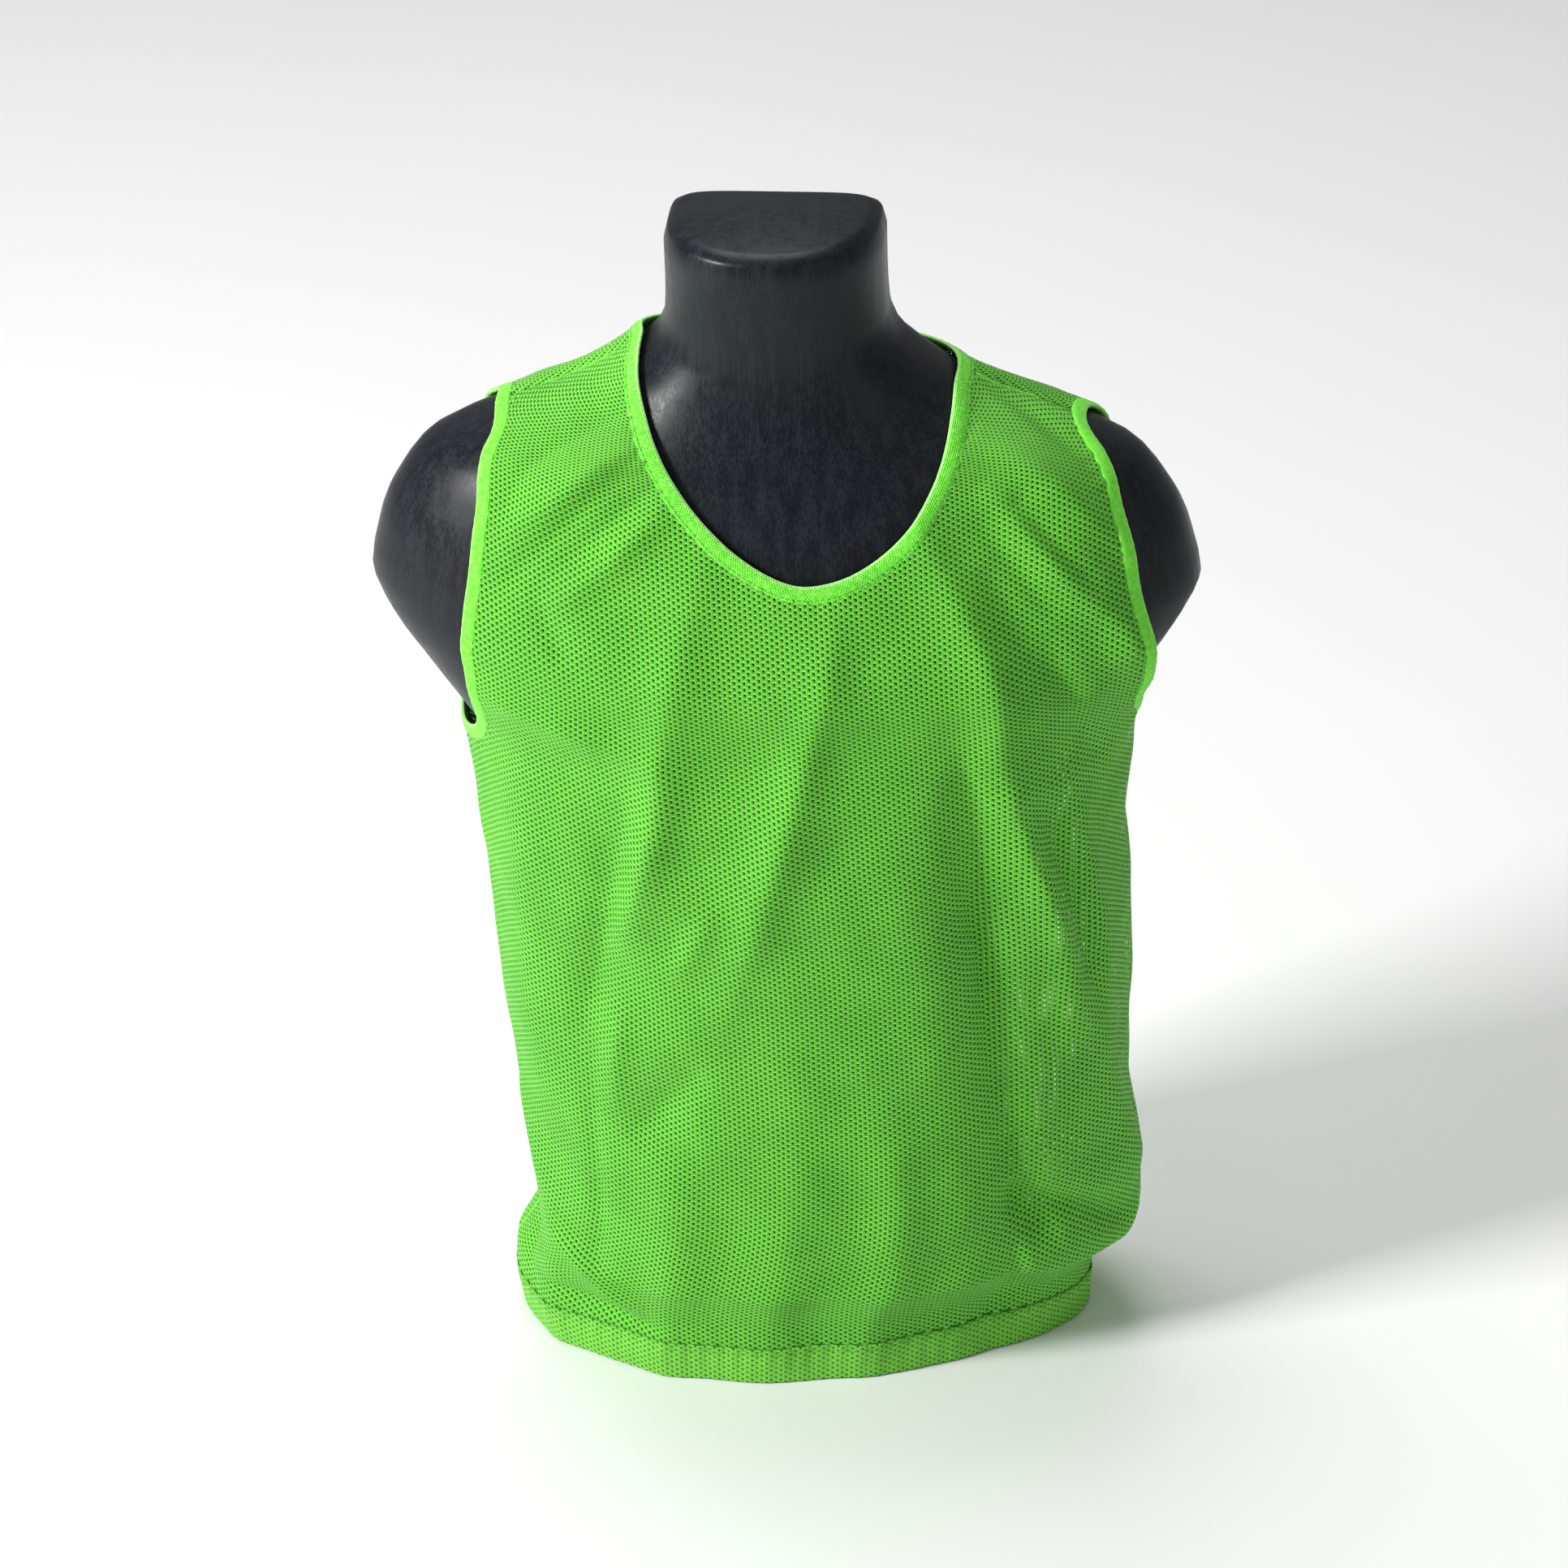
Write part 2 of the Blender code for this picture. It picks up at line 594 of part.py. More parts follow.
def binding(name, edge, width, material, collection):
    """A folded strip of knit round a hole's edge."""
    lines = [widened(edge, share * width) for share, _ in BINDING_SECTION]
    return strip_wall(name, lines, BINDING_SECTION, True, material, collection)


def hem(panel, material, collection):
    """The turned-up hem of a panel, two layers thick."""
    turn = foot_turns(panel)
    turn = into_panel(panel, turn, np.full(len(turn), HEM_LIFT + HEM_DEPTH))
    lines = [(turn, np.full(len(turn), HEM_LIFT + share * HEM_DEPTH)) for share, _ in HEM_SECTION]
    return strip_wall("hem_" + panel, lines, HEM_SECTION, False, material, collection)


def form_ring(height):
    """A ring of the dress form, as points from the left side round the front."""
    size = {name: float(FORM.at(name, np.array([height]))[0]) for name in FORM_COLUMNS[1:]}
    points = []
    for way, deep, power, steps in (
        (1, size["front"] - size["side"], size["round_front"], FORM_STEPS[0]),
        (-1, size["back"] - size["side"], size["round_back"], FORM_STEPS[1]),
    ):
        share = np.linspace(0.0, 1.0, steps + 1)
        fill = np.ones(steps + 1)
        wide = size["half_width"] * fill
        along, out = corner(share, wide, abs(deep) * fill, power * fill)
        x = np.concatenate([-wide * along, (wide * along)[-2::-1]]) * way
        y = size["side"] + deep * np.concatenate([out, out[-2::-1]])
        points += [(px, py, height) for px, py in zip(x[:-1], y[:-1])]
    return points


def form_heights():
    """The heights of the form's rings: each row of its table, and more between far rows."""
    heights = []
    rows = [row[0] for row in FORM_SECTIONS]
    for low, high in zip(rows, rows[1:]):
        between = max(1, round((high - low) / FORM_RING_SPACING))
        heights += [low + (high - low) * i / between for i in range(between)]
    return heights + [rows[-1]]


def stump_cutter(sign, collection):
    """A block whose face cuts one shoulder stump flat, down to the armpit."""
    bpy.ops.mesh.primitive_cube_add(size=CUTTER_SIZE * MM)
    made = bpy.context.object
    made.name = "stump_cutter_" + ("right" if sign > 0 else "left")
    # the block's inner lower corner sits in the armpit and its inner face leans out and up
    lean = math.atan(STUMP_LEAN)
    corner_x = STUMP_TOP[0] - (STUMP_TOP[1] - STUMP_LOW) * STUMP_LEAN
    half = CUTTER_SIZE / 2
    x = corner_x + half * math.cos(lean) + half * math.sin(lean)
    z = STUMP_LOW - half * math.sin(lean) + half * math.cos(lean)
    made.location = (sign * x * MM, 0.0, z * MM)
    made.rotation_euler = (0.0, sign * lean, 0.0)
    made.hide_render = True
    made.display_type = "WIRE"
    for holder in list(made.users_collection):
        holder.objects.unlink(made)
    collection.objects.link(made)
    return made


def dress_form(material, collection, cutters):
    """The limbless torso: a stack of rings, closed at its foot and its neck, with cut stumps."""
    rings = [form_ring(height) for height in form_heights()]
    around = len(rings[0])
    faces = []
    for i in range(len(rings) - 1):
        for k in range(around):
            m = (k + 1) % around
            faces.append((i * around + k, i * around + m, (i + 1) * around + m, (i + 1) * around + k))
    faces.append(tuple(range(around - 1, -1, -1)))
    faces.append(tuple((len(rings) - 1) * around + k for k in range(around)))
    points = np.array([point for ring in rings for point in ring])
    made = new_object("dress_form", points, faces, material, collection)
    for sign in (-1, 1):
        cut = made.modifiers.new("stump face", "BOOLEAN")
        cut.operation = "DIFFERENCE"
        cut.solver = "EXACT"
        cut.object = stump_cutter(sign, cutters)
    return made


def new_collection(name):
    made = bpy.data.collections.new(name)
    bpy.context.scene.collection.children.link(made)
    return made


def main():
    for old in list(bpy.data.objects):
        bpy.data.objects.remove(old, do_unlink=True)
    parts = new_collection("mesh_training_bib")
    cutters = new_collection("cutters")
    mesh_knit = plastic("neon green mesh knit", (0.16, 0.62, 0.06), 0.75)
    dense_knit = plastic("neon green dense knit", (0.12, 0.80, 0.03), 0.75)
    shell = plastic("black satin plastic", (0.006, 0.008, 0.011), 0.38)
    dress_form(shell, parts, cutters)
    for panel in ("front", "back"):
        panel_wall(panel, mesh_knit, parts)
        hem(panel, mesh_knit, parts)
    binding("neck_binding", neck_edge(), NECK_BINDING_WIDTH, dense_knit, parts)
    for row in ARMHOLES:
        edge = armhole_edge(row[0])
        binding("armhole_binding_" + row[0], edge, ARMHOLE_BINDING_WIDTH, dense_knit, parts)


main()
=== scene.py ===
import math

import bpy
import numpy as np
from mathutils import Matrix, Vector
from mathutils.geometry import delaunay_2d_cdt


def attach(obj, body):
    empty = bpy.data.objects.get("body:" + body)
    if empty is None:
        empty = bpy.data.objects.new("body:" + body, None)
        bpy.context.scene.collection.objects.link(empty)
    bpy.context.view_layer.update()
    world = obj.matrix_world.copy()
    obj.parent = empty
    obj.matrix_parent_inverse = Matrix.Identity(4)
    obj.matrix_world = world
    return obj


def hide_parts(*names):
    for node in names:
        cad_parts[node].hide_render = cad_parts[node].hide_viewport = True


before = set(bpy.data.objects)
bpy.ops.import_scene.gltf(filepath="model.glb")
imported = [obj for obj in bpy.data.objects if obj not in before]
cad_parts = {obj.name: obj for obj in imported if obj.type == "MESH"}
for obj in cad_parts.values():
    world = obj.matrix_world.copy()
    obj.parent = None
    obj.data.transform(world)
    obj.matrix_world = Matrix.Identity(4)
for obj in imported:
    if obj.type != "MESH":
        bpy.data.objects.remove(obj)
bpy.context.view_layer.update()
scene = bpy.context.scene
for thing in bpy.context.selected_objects:
    thing.select_set(False)
mm = 0.001
print("frame loaded")

# Places on the garment are given by a turn and a height, in millimetres. The turn is -1 at the
# left side seam, 0 at the front, 1 at the right side seam, 2 at the back and 3 at the left again.

formNames = ("height", "halfWidth", "front", "back", "side", "roundFront", "roundBack")
formRows = (
    (0, 121, -80, 59, 0, 2.3, 2.8),
    (4, 124, -83, 62, 0, 2.3, 2.8),
    (60, 122, -83, 63, 0, 2.3, 2.8),
    (150, 122, -88, 66, 0, 2.3, 2.8),
    (250, 132, -99, 72, 0, 2.4, 2.8),
    (330, 144, -110, 79, 0, 2.5, 2.8),
    (375, 152, -115, 83, 0, 2.6, 2.8),
    (396, 161, -116, 84, 0, 2.5, 2.7),
    (412, 178, -115.5, 84, 0, 2.3, 2.6),
    (432, 195, -114, 83, 0, 2.15, 2.5),
    (455, 213, -112, 82, 0, 2.05, 2.4),
    (480, 230, -109, 80, 0, 2.0, 2.3),
    (500, 236, -105, 77, 0, 2.0, 2.3),
    (520, 232, -101, 74, 0, 2.0, 2.3),
    (540, 226, -96, 71, 0, 2.0, 2.3),
    (558, 216, -91, 67, 0, 2.0, 2.3),
    (573, 205, -86, 62, 0, 2.0, 2.3),
    (584, 190, -81, 58, 0, 2.0, 2.3),
    (592, 171, -78, 54, 0, 2.0, 2.3),
    (601.5, 146, -74, 49, 0, 2.0, 2.4),
    (614, 115, -70, 43, 0, 2.0, 2.6),
    (626, 94, -67, 38, -2, 2.1, 3.0),
    (637, 78, -65, 33, -3, 2.2, 3.6),
    (648, 67, -64, 29, -4, 2.2, 4.5),
    (662, 62, -65, 27, -5, 2.2, 5.5),
    (685, 61, -69, 26, -5, 2.2, 6.0),
    (706, 61, -74, 26, -5, 2.2, 6.0),
    (714, 59, -73.5, 25, -5, 2.2, 6.0),
    (718, 56, -70.5, 22.5, -5, 2.2, 5.5),
    (720, 51, -65, 18, -5, 2.2, 5.0),
)
bibNames = (
    "height", "left", "right", "front", "back", "side", "crest",
    "roundLeft", "roundRight", "roundBack",
)
bibRows = (
    (0, -172, 171, -93, 92, 4, -27, 1.9, 1.7, 2.3),
    (25, -175, 173, -94, 93, 4, -26, 1.9, 1.7, 2.3),
    (40, -174, 176, -95, 94, 3, -25, 1.9, 1.75, 2.3),
    (52, -168, 186, -96, 94, 2, -23, 2.0, 1.85, 2.3),
    (64, -162, 200, -98, 95, 1, -20, 2.0, 1.95, 2.3),
    (80, -159, 204, -99, 96, 0, -16, 2.1, 1.95, 2.3),
    (110, -161, 203, -102, 97, 0, -10, 2.1, 1.95, 2.3),
    (170, -167, 196, -107, 98, 0, -5, 2.1, 2.0, 2.3),
    (240, -174, 197, -113, 99, 0, -2, 2.1, 2.0, 2.3),
    (300, -177, 197, -118, 98, 0, 0, 2.1, 2.0, 2.3),
    (350, -182, 194, -122, 96, 0, 0, 2.1, 2.0, 2.3),
    (385, -185, 198, -122, 94, 0, 0, 2.1, 2.0, 2.3),
    (410, -189, 200, -121, 92, 0, 0, 2.1, 2.1, 2.3),
    (428, -199, 205, -120, 90, 0, 0, 2.1, 2.1, 2.3),
    (446, -217, 217, -118, 88, 0, 0, 2.1, 2.1, 2.3),
    (465, -232, 234, -116, 86, 0, 0, 2.05, 2.05, 2.3),
    (485, -240, 242, -112, 83, 0, 0, 2.05, 2.05, 2.3),
    (503, -239, 240, -108, 80.5, 0, 0, 2.05, 2.05, 2.3),
    (523, -235, 236, -104, 77.5, 0, 0, 2.05, 2.05, 2.3),
    (543, -229, 229, -99.5, 74.5, 0, 0, 2.05, 2.05, 2.3),
    (561, -219, 219, -94.5, 70.5, 0, 0, 2.05, 2.05, 2.3),
    (576, -208, 208, -89.5, 65.5, 0, 0, 2.05, 2.05, 2.3),
    (587, -193, 193, -84.5, 61.5, 0, 0, 2.05, 2.05, 2.3),
    (595, -174, 174, -81.5, 57.5, 0, 0, 2.05, 2.05, 2.3),
    (604.5, -149, 149, -77.5, 52.5, 0, 0, 2.05, 2.05, 2.4),
    (617, -118, 118, -73.5, 46.5, 0, 0, 2.05, 2.05, 2.6),
    (629, -97, 97, -70.5, 41.5, -2, 0, 2.1, 2.1, 3.0),
    (640, -81, 81, -68.5, 36.5, -3, 0, 2.2, 2.2, 3.6),
    (651, -70, 70, -67.5, 32.5, -4, 0, 2.2, 2.2, 4.5),
)


class Sections:
    def __init__(self, rows, names):
        self.heights = np.array([row[0] for row in rows], float)
        self.curves = {}
        for place, name in enumerate(names[1:], start=1):
            values = np.array([row[place] for row in rows], float)
            self.curves[name] = (values, self.slopes(values))

    def slopes(self, values):
        gap = np.diff(self.heights)
        rise = np.diff(values) / gap
        slope = np.zeros(len(values))
        slope[0], slope[-1] = rise[0], rise[-1]
        for i in range(1, len(values) - 1):
            before, after = rise[i - 1], rise[i]
            if before * after > 0:
                near, far = 2 * gap[i] + gap[i - 1], gap[i] + 2 * gap[i - 1]
                slope[i] = (near + far) / (near / before + far / after)
        return slope

    def at(self, name, height):
        values, slopes = self.curves[name]
        height = np.clip(height, self.heights[0], self.heights[-1])
        i = np.clip(np.searchsorted(self.heights, height, side="right") - 1, 0, len(self.heights) - 2)
        gap = self.heights[i + 1] - self.heights[i]
        x = (height - self.heights[i]) / gap
        start = values[i] * (1 + 2 * x) * (1 - x) ** 2 + slopes[i] * gap * x * (1 - x) ** 2
        return start + values[i + 1] * x**2 * (3 - 2 * x) - slopes[i + 1] * gap * x**2 * (1 - x)


form = Sections(formRows, formNames)
bib = Sections(bibRows, bibNames)
cornerAngles = np.linspace(0.0, math.pi / 2, 49)


def unitCorner(angle, power):
    cosine, sine = np.abs(np.cos(angle)), np.abs(np.sin(angle))
    reach = (cosine**power + sine**power) ** (-1.0 / power)
    return cosine * reach, sine * reach


def cornerRun(across, deep, power):
    along, out = unitCorner(cornerAngles[None, :], power[:, None])
    steps = np.hypot(np.diff(across[:, None] * along), np.diff(deep[:, None] * out))
    return np.concatenate([np.zeros((len(power), 1)), np.cumsum(steps, axis=1)], axis=1)


def corner(share, across, deep, power):
    run = cornerRun(across, deep, power)
    want = np.clip(share, 0.0, 1.0) * run[:, -1]
    i = np.clip((run <= want[:, None]).sum(axis=1) - 1, 0, len(cornerAngles) - 2)
    row = np.arange(len(share))
    part = (want - run[row, i]) / (run[row, i + 1] - run[row, i])
    return unitCorner(cornerAngles[i] + part * cornerAngles[1], power)


def quarter(turn, height):
    turn = (turn + 1.0) % 4.0 - 1.0
    inFront = turn <= 1.0
    onLeft = (turn < 0) | (turn > 2)
    left, right = bib.at("left", height), bib.at("right", height)
    middle = np.where(inFront, bib.at("crest", height), (left + right) / 2)
    reach = np.where(onLeft, left, right) - middle
    side = bib.at("side", height)
    deep = np.where(inFront, bib.at("front", height), bib.at("back", height)) - side
    frontPower = np.where(onLeft, bib.at("roundLeft", height), bib.at("roundRight", height))
    power = np.where(inFront, frontPower, bib.at("roundBack", height))
    return 1 - np.abs(np.where(inFront, turn, 2.0 - turn)), middle, side, reach, deep, power


def halfLength(middle, offset, height):
    turn = middle + 0.5 * np.sign(offset)
    _, _, _, reach, deep, power = quarter(turn.ravel(), height.ravel())
    return cornerRun(np.abs(reach), np.abs(deep), power)[:, -1].reshape(turn.shape)


def smoothPoint(turn, height):
    turn, height = np.broadcast_arrays(np.asarray(turn, float), np.asarray(height, float))
    shape = turn.shape
    height = height.ravel()
    share, middle, side, reach, deep, power = quarter(turn.ravel(), height)
    along, out = corner(share, np.abs(reach), np.abs(deep), power)
    points = np.stack([middle + reach * along, side + deep * out, height], axis=-1)
    return points.reshape(shape + (3,))


def slopesAt(surface, turn, height, stepTurn=0.012, stepHeight=1.5):
    byTurn = surface(turn + stepTurn, height) - surface(turn - stepTurn, height)
    byHeight = surface(turn, height + stepHeight) - surface(turn, height - stepHeight)
    return byTurn / (2 * stepTurn), byHeight / (2 * stepHeight)


def normalAt(surface, turn, height, **steps):
    byTurn, byHeight = slopesAt(surface, turn, height, **steps)
    normal = np.cross(byTurn, byHeight)
    return normal / np.linalg.norm(normal, axis=-1, keepdims=True)


# Folds, each along a curve through three places. rise is above the smooth face, or below it
# where negative; width is its reach to each side; sharp is 2 for a round fold, less for a crease.
foldRows = (
    (0.14, 535, 0.05, 405, -0.15, 250, 6, 15, 1.5),
    (-0.12, 560, -0.24, 421, -0.40, 290, 5, 16, 1.7),
    (-0.24, 440, -0.28, 372, -0.48, 275, 4, 12, 1.5),
    (-0.34, 405, -0.42, 320, -0.56, 215, -7, 14, 1.6),
    (-0.56, 440, -0.66, 320, -0.70, 150, 5, 20, 1.8),
    (-0.13, 340, -0.19, 313, -0.25, 285, 3, 8, 1.5),
    (-0.66, 458, -0.45, 444, -0.22, 428, 4, 10, 1.6),
    (0.42, 425, 0.51, 240, 0.66, -20, -9, 14, 1.5),
    (0.41, 440, 0.47, 330, 0.52, 220, -4, 6, 1.3),
    (0.52, 410, 0.64, 325, 0.75, 230, 6, 12, 1.5),
    (0.60, 400, 0.70, 328, 0.79, 235, -6, 8, 1.4),
    (0.65, 410, 0.75, 350, 0.84, 230, 5, 12, 1.6),
    (0.47, 480, 0.66, 310, 0.80, 140, 4, 18, 1.8),
    (0.74, 270, 0.86, 171, 0.97, 100, 5, 14, 1.7),
    (0.30, 590, 0.42, 490, 0.56, 380, 5, 13, 1.6),
    (0.45, 545, 0.56, 480, 0.82, 395, -4, 8, 1.3),
    (0.58, 575, 0.70, 500, 0.90, 400, 5, 14, 1.6),
    (0.51, 584, 0.57, 547, 0.66, 505, 3.5, 8, 1.5),
    (0.56, 580, 0.62, 543, 0.72, 500, -3, 5, 1.3),
    (0.46, 570, 0.52, 534, 0.58, 509, -3, 5, 1.3),
    (0.63, 606, 0.68, 572, 0.80, 520, 4.5, 11, 1.6),
    (0.98, 619, 0.86, 602, 0.77, 576, -2.5, 6, 1.4),
    (-0.42, 608, -0.46, 579, -0.60, 547, 5, 10, 1.5),
    (-0.35, 596, -0.47, 550, -0.58, 511, -2.5, 5, 1.3),
    (-0.23, 580, -0.31, 549, -0.45, 512, 5, 10, 1.5),
    (-0.26, 590, -0.36, 560, -0.50, 520, -3, 6, 1.3),
    (-0.56, 618, -0.61, 599, -0.58, 560, -3, 6, 1.3),
    (-0.47, 512, -0.43, 496, -0.40, 482, -2.5, 5, 1.3),
    (0.57, 125, 0.75, 103, 0.93, 74, -8, 10, 1.4),
    (0.58, 130, 0.66, 91, 0.92, 18, -5, 8, 1.4),
    (0.59, 108, 0.61, 83, 0.66, 58, 3.5, 7, 1.6),
    (0.66, 98, 0.74, 66, 0.94, 18, 4, 10, 1.7),
    (-0.49, 235, -0.53, 131, -0.52, 40, -2.5, 6, 1.4),
    (-0.40, 265, -0.42, 226, -0.45, 185, 3.5, 8, 1.5),
    (-0.40, 165, -0.29, 198, -0.18, 222, -4, 12, 1.6),
    (-0.75, 42, -0.47, 37, -0.24, 31, -5, 7, 1.4),
    (-0.70, 78, -0.51, 56, -0.32, 41, 5, 8, 1.5),
    (-0.88, 170, -0.72, 80, -0.60, -60, 5, 16, 1.7),
    (-0.97, 78, -0.88, 56, -0.74, 30, -4, 8, 1.5),
    (-0.30, 160, -0.26, 60, -0.26, -60, 4, 18, 1.8),
    (0.28, 200, 0.30, 80, 0.33, -60, 4, 18, 1.8),
    (0.02, 240, 0.05, 110, 0.04, -60, 3, 20, 1.8),
    (1.30, 400, 1.34, 200, 1.38, -80, 9, 22, 1.7),
    (1.62, 460, 1.66, 220, 1.70, -80, 8, 20, 1.7),
    (1.98, 480, 2.00, 230, 2.02, -80, 10, 24, 1.7),
    (2.32, 450, 2.36, 220, 2.34, -80, 8, 20, 1.7),
    (2.62, 400, 2.66, 200, 2.68, -80, 9, 22, 1.7),
    (1.47, 440, 1.52, 300, 1.50, 150, -5, 14, 1.5),
    (2.15, 470, 2.17, 320, 2.20, 160, -5, 14, 1.5),
    (1.80, 440, 1.84, 300, 1.86, 120, -4, 12, 1.5),
    (1.30, 560, 1.45, 510, 1.70, 480, 4, 13, 1.6),
    (2.70, 560, 2.56, 512, 2.32, 482, 4, 13, 1.6),
    (1.36, 590, 1.42, 560, 1.50, 520, 3.5, 10, 1.6),
    (2.62, 590, 2.58, 560, 2.50, 520, 3.5, 10, 1.6),
)
# Small waves all over the cloth: how many, their shortest and longest length, and their height.
ripple = {"count": 16, "shortest": 24.0, "longest": 80.0, "height": 0.32, "seed": 5}


def foldPath(fold):
    turns, heights = np.array(fold[0:6:2], float), np.array(fold[1:6:2], float)
    at = np.linspace(0.0, 1.0, 15)
    weights = np.stack([2 * (at - 0.5) * (at - 1), 4 * at * (1 - at), 2 * at * (at - 0.5)], axis=1)
    return smoothPoint(weights @ turns, weights @ heights)


foldStrength = 1.3
foldPaths = [(foldPath(row), row[6] * foldStrength, row[7], row[8]) for row in foldRows]
rippleRandom = np.random.default_rng(ripple["seed"])
rippleWays = rippleRandom.normal(size=(ripple["count"], 3))
rippleWays /= np.linalg.norm(rippleWays, axis=1, keepdims=True)
rippleWays *= 2 * math.pi / rippleRandom.uniform(
    ripple["shortest"], ripple["longest"], size=(ripple["count"], 1)
)
rippleStarts = rippleRandom.uniform(0, 2 * math.pi, ripple["count"])


def foldRise(points):
    total = np.zeros(len(points))
    for path, rise, width, sharp in foldPaths:
        reach = width * 2.6
        near = np.nonzero(
            np.all((points > path.min(axis=0) - reach) & (points < path.max(axis=0) + reach), axis=1)
        )[0]
        if not len(near):
            continue
        chosen = points[near]
        nearest = np.full(len(near), 1e9)
        along = np.zeros(len(near))
        pieces = len(path) - 1
        for i in range(pieces):
            run = path[i + 1] - path[i]
            part = np.clip((chosen - path[i]) @ run / (run @ run), 0.0, 1.0)
            gap = np.linalg.norm(chosen - path[i] - part[:, None] * run, axis=1)
            closer = gap < nearest
            nearest = np.where(closer, gap, nearest)
            along = np.where(closer, (i + part) / pieces, along)
        fade = np.sin(math.pi * along) ** 0.7
        total[near] += rise * fade * np.exp(-((np.sqrt(nearest**2 + 2.0) / width) ** sharp))
    waves = np.sin(points @ rippleWays.T + rippleStarts).sum(axis=1)
    return total + ripple["height"] * waves / math.sqrt(ripple["count"] / 2) * 1.4


def formGap(points):
    def level(p):
        x, y, z = p[:, 0], p[:, 1], p[:, 2]
        side = form.at("side", z)
        ahead = y < side
        deep = np.where(ahead, form.at("front", z), form.at("back", z)) - side
        power = np.where(ahead, form.at("roundFront", z), form.at("roundBack", z))
        wide = np.abs(x) / form.at("halfWidth", z)
        return (wide**power + np.abs((y - side) / deep) ** power) ** (1 / power)

    here = level(points)
    step = 0.5
    change = [(level(points + step * way) - level(points - step * way)) / (2 * step) for way in np.eye(3)]
    return (here - 1) / np.maximum(np.linalg.norm(change, axis=0), 1e-4)


cloth = {"wall": 0.8, "clear": 0.5, "soft": 0.7}


def clothPoint(turn, height):
    turn, height = np.broadcast_arrays(np.asarray(turn, float), np.asarray(height, float))
    shape = turn.shape
    turn, height = turn.ravel(), height.ravel()
    points = smoothPoint(turn, height)
    normal = normalAt(smoothPoint, turn, height)
    points = points + normal * foldRise(points)[:, None]
    # the cloth rests on the form and never sinks into it
    short = (cloth["wall"] + cloth["clear"] + 0.9 - formGap(points)) / cloth["soft"]
    points += normal * (cloth["soft"] * np.logaddexp(0.0, np.minimum(short, 50)))[:, None]
    return points.reshape(shape + (3,))


def clothNormal(turn, height):
    return normalAt(clothPoint, turn, height)


def shift(turn, height, direction, distance, pieces=4):
    turn, height = turn.copy(), height.copy()
    for _ in range(pieces):
        byTurn, byHeight = slopesAt(smoothPoint, turn, height)
        aim = direction * distance / pieces
        a = (byTurn * byTurn).sum(-1)
        b = (byTurn * byHeight).sum(-1)
        c = (byHeight * byHeight).sum(-1)
        p = (byTurn * aim).sum(-1)
        q = (byHeight * aim).sum(-1)
        turn += (c * p - b * q) / (a * c - b * b)
        height += (a * q - b * p) / (a * c - b * b)
    return turn, height


def turnOf(across, height):
    low, high = np.full(len(across), -1.0), np.full(len(across), 1.0)
    for _ in range(30):
        middle = (low + high) / 2
        under = smoothPoint(middle, height)[:, 0] < across
        low = np.where(under, middle, low)
        high = np.where(under, high, middle)
    return (low + high) / 2


def spaced(turn, height, count):
    points = smoothPoint(turn, height)
    run = np.append(0.0, np.cumsum(np.linalg.norm(np.diff(points, axis=0), axis=1)))
    at = np.linspace(0.0, run[-1], count + 1)
    return np.interp(at, run, turn), np.interp(at, run, height)


def rounded(turn, height, wrap, reach):
    # an average over a few neighbours, so that no corner of a closed edge stays sharp
    count = len(turn)
    longTurn = np.concatenate([turn[-reach:] - wrap, turn, turn[:reach] + wrap])
    longHeight = np.concatenate([height[-reach:], height, height[:reach]])
    span = 2 * reach + 1
    weights = 1 - np.abs(np.arange(-reach, reach + 1)) / (reach + 1)
    weights /= weights.sum()
    return tuple(
        sum(weights[k] * values[k : k + count] for k in range(span))
        for values in (longTurn, longHeight)
    )


neck = {
    "low": (20.0, 535.5),
    "left": (-96.0, 109.5, 1.55),
    "right": (80.0, 91.5, 1.9),
    "backSag": 4.0,
    "frontSteps": 190,
    "backSteps": 100,
    "detail": 400,
}


def neckEdge():
    angle = np.linspace(0.0, math.pi, neck["detail"] + 1)
    x, z = np.zeros(len(angle)), np.zeros(len(angle))
    for name in ("left", "right"):
        across, rise, power = neck[name]
        chosen = angle <= math.pi / 2 if name == "left" else angle > math.pi / 2
        along, out = unitCorner(angle[chosen], power)
        x[chosen] = neck["low"][0] + across * along
        z[chosen] = neck["low"][1] + rise * (1 - out)
    turn = turnOf(x, z)
    turn[0], turn[-1] = -1.0, 1.0
    front = spaced(turn, z, neck["frontSteps"])
    part = np.linspace(0.0, 1.0, neck["detail"] + 1)
    height = z[-1] + (z[0] - z[-1]) * part - neck["backSag"] * np.sin(math.pi * part)
    back = spaced(1.0 + 2.0 * part, height, neck["backSteps"])
    edge = tuple(np.append(f, b[1:-1]) for f, b in zip(front, back))
    return rounded(*edge, 4.0, 3)


# low and high ends on the side seam line, then the bite and its squareness in front and behind
armholes = {
    "left": {"low": 409.0, "high": 600.0, "front": (0.37, 2.8), "back": (0.31, 2.5)},
    "right": {"low": 428.0, "high": 596.0, "front": (0.24, 2.35), "back": (0.27, 2.4)},
}
armholeSteps = 90


def armholeEdge(name):
    row = armholes[name]
    seam, inward = (-1.0, 1.0) if name == "left" else (1.0, -1.0)
    angle = np.linspace(-math.pi / 2, math.pi / 2, neck["detail"] + 1)
    middle, half = (row["low"] + row["high"]) / 2, (row["high"] - row["low"]) / 2
    turns, heights = [], []
    for panel, way in (("front", inward), ("back", -inward)):
        bite, square = row[panel]
        up, out = unitCorner(math.pi / 2 - np.abs(angle), square)
        turn, height = spaced(seam + way * bite * out, middle + half * up * np.sign(angle), armholeSteps)
        if panel == "back":
            turn, height = turn[::-1], height[::-1]
        turns.append(turn[:-1])
        heights.append(height[:-1])
    return rounded(np.concatenate(turns), np.concatenate(heights), 0.0, 2)


